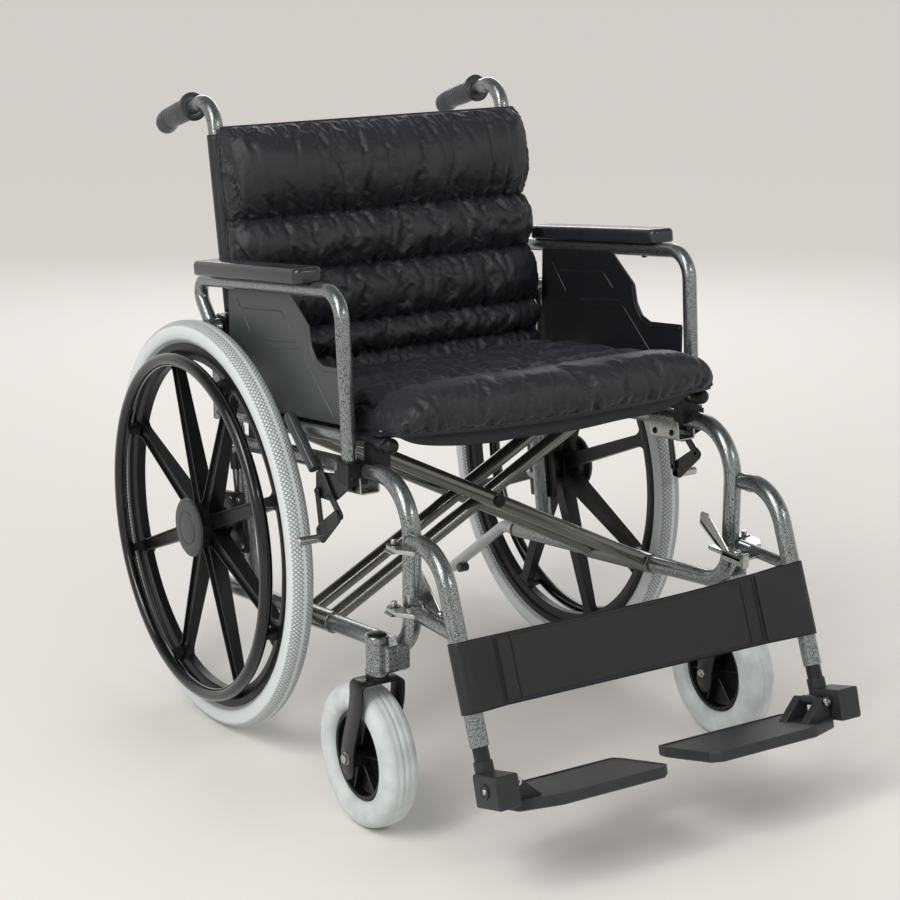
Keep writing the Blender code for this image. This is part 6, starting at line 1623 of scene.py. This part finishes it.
def creased(grid, lines, out):
    """Cloth pressed in along each line: a bell-shaped groove between two low lips, deepest at the line's start.

    The move is along the surface's normal, and none of it reaches the rim."""
    along = np.concatenate([np.zeros((1, grid.shape[1])), np.linalg.norm(np.diff(grid, axis=0), axis=2).cumsum(0)])
    aside = grid[..., 0]
    press = np.zeros(aside.shape)
    for x0, v0, x1, v1, width, depth in lines:
        run = np.array([x1 - x0, v1 - v0])
        part = ((aside - x0) * run[0] + (along - v0) * run[1]) / (run @ run)
        off = np.hypot(aside - x0 - np.clip(part, 0, 1) * run[0], along - v0 - np.clip(part, 0, 1) * run[1])
        fade = np.clip(1 - np.clip(part, 0, 1), 0, 1) ** 0.8
        press += depth * fade * (np.exp(-(off / width) ** 2) - 0.40 * np.exp(-((off - 1.9 * width) / width) ** 2))
    normal = unit(np.cross(np.gradient(grid, axis=0), np.gradient(grid, axis=1)))
    normal = normal * math.copysign(1.0, float((normal @ np.asarray(out)).mean()))
    inside = np.zeros(aside.shape)
    inside[2:-2, 2:-2] = 1.0
    return grid - normal * (np.clip(press, -0.0026, 0.0060) * inside)[..., None]


def cushion(name, body, stands_for, grids, spare, pressure, cap, seed, out, slack):
    """Stuffed cushion of a front and a back grid, and its piping round the rim."""
    front, back, sewn = grids
    swollen = doubled(stuffed(front, sewn, spare, pressure, cap, seed))
    front, back = doubled(front), doubled(back)
    along = np.concatenate([[0.0], np.linalg.norm(np.diff(swollen, axis=0), axis=2).mean(axis=1).cumsum()])
    seams = along[np.concatenate([[0], 2 * sewn, [len(along) - 1]])]
    rooms = np.diff(seams)
    starts = list(zip(seams[:-1], rooms)) + list(zip(seams[1:], -rooms))
    reach = [(low, high, slack) for low, high in zip(seams[:-1], seams[1:])]
    swollen = creased(swollen, gathers(starts, float(front[..., 0].max()), reach, seed + 1), out)
    piece = placed(name, shell(swollen, back), NYLON, body, stands_for, 80.0)
    rim = rim_of(front)
    cord = placed(name + "_piping", swept(np.concatenate([rim, rim[:2]]), circle(0.0021, 8), (0.0, 0.0, 1.0)),
                  NYLON, body, (), 80.0)
    return piece, cord


seat_sheet = sheet_object("seat_sling_sheet", seat_sling(), None, ("seat_sling",), SLING,
                          WEBBING)
back_cloth = sheet_object("back_sling_sheet", back_sheet(), "frame_left", ("back_sling",), SLING)
band_grids = calf_band()
band_width = float(np.linalg.norm(np.diff(band_grids[0][0], axis=0), axis=1).sum())
band = sheet_object("calf_band_webbing", band_grids, "legrest_left", ("calf_strap",), SLING,
                    WEBBING)
band_trim = placed("calf_band_seams", band_seams(), WEBBING, "legrest_left", (), 60.0)
tabs, rivet = corner_tabs()
for side, brace_body, turn_over in (("left", "brace_b", joined), ("right", "brace_a", flipped)):
    placed("seat_hem_tab_" + side, turn_over(tabs), WEBBING, brace_body, (), 40.0)
    placed("seat_hem_rivet_" + side, turn_over(rivet), ZINC, brace_body, ())
seat_pad, seat_cord = cushion("seat_cushion_cover", None, ("seat_cushion",), seat_pillow(), spare=0.05, pressure=3.5,
                              cap=0.012, seed=11, out=SEAT_UP, slack=2)
back_pad, back_cord = cushion("back_cushion_cover", "frame_left", ("back_cushion",), back_pillow(), spare=0.06,
                              pressure=3.5, cap=0.013, seed=23, out=BACK_AHEAD, slack=4)
for piece in (back_cloth, band, band_trim, back_pad, back_cord):
    fold_flat(piece)
# The seat's fabric pieces take their placement into their meshes.
for piece in (seat_sheet, seat_pad, seat_cord):
    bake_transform(piece)


# Floor, light and camera

def studio():
    """Pale floor, soft sky, a soft sun from the upper left, a soft box behind and two strips of light."""
    floor_material, _, shader = begun("studio_floor_paint", "E6E1DB", 0.9)
    shader.inputs["Specular IOR Level"].default_value = 0.1
    ring = np.linspace(0, 2 * math.pi, 64, endpoint=False)
    floor_mesh = bpy.data.meshes.new("studio_floor")
    rim = np.stack([60 * np.cos(ring), 60 * np.sin(ring), 0 * ring - 0.0005], -1)
    floor_mesh.from_pydata(rim.tolist(), [], [list(range(64))])
    floor_mesh.materials.append(floor_material)
    linked("studio_floor", floor_mesh)

    world = bpy.data.worlds.new("studio_sky")
    bpy.context.scene.world = world
    world.use_nodes = True
    sky = world.node_tree
    sky.nodes.clear()
    light = put(sky, "ShaderNodeLightPath")
    seen = put(sky, "ShaderNodeMath", {0: light.outputs["Is Camera Ray"], 1: light.outputs["Is Glossy Ray"]},
               operation="MAXIMUM")
    seen = put(sky, "ShaderNodeMath", {0: seen.outputs[0], 1: light.outputs["Is Transmission Ray"]},
               operation="MAXIMUM")
    lit = put(sky, "ShaderNodeBackground", {"Color": linear("FFFFFF"), "Strength": 0.62})
    facing = put(sky, "ShaderNodeSeparateXYZ", {"Vector": put(sky, "ShaderNodeTexCoord").outputs["Generated"]})
    above = put(sky, "ShaderNodeMapRange", {"Value": facing.outputs["Z"], "From Min": 0.25, "From Max": 0.75})
    paper = put(sky, "ShaderNodeMix", {0: above.outputs[0], 6: linear("E6E1DB"), 7: linear("6E7072")},
                data_type="RGBA")
    shown = put(sky, "ShaderNodeBackground", {"Color": paper.outputs[2], "Strength": 1.0})
    mixed = put(sky, "ShaderNodeMixShader", {0: seen.outputs[0], 1: lit.outputs[0], 2: shown.outputs[0]})
    put(sky, "ShaderNodeOutputWorld", {"Surface": mixed.outputs[0]})

    def lamp(name, kind, power, place, target, **settings):
        data = bpy.data.lights.new(name, kind)
        data.energy = power
        for key, value in settings.items():
            setattr(data, key, value)
        made = linked(name, data)
        made.location = place
        made.visible_camera = False
        made.rotation_euler = (Vector(target) - Vector(place)).to_track_quat("-Z", "Y").to_euler()

    lamp("rear_soft_box", "AREA", 20.0, (1.75, 3.0, 1.62), (0.0, 0.0, 0.6), shape="RECTANGLE", size=2.4, size_y=0.8,
         color=(0.90, 0.96, 1.0))
    lamp("soft_sun", "SUN", 0.85, (-2.2, -0.6, 3.0), (0.0, 0.0, 0.4), angle=math.radians(38))
    lamp("left_strip", "AREA", 34.0, (-2.6, -0.9, 2.3), (0.0, 0.0, 0.45), shape="RECTANGLE", size=0.45, size_y=2.4)
    lamp("front_strip", "AREA", 15.0, (0.9, -3.0, 2.4), (0.0, 0.0, 0.45), shape="RECTANGLE", size=1.6, size_y=0.3)


studio()

camera_data = bpy.data.cameras.new("photo_camera")
camera_data.lens, camera_data.sensor_width, camera_data.clip_end = 87.26, 36.0, 200.0
camera = linked("photo_camera", camera_data)
camera.location = (-1.632, -2.588, 1.272)
camera.rotation_euler = (math.radians(90 - 15.41), 0.0, math.radians(-31.6))
bpy.context.scene.camera = camera
bpy.context.scene.view_settings.view_transform = "Standard"
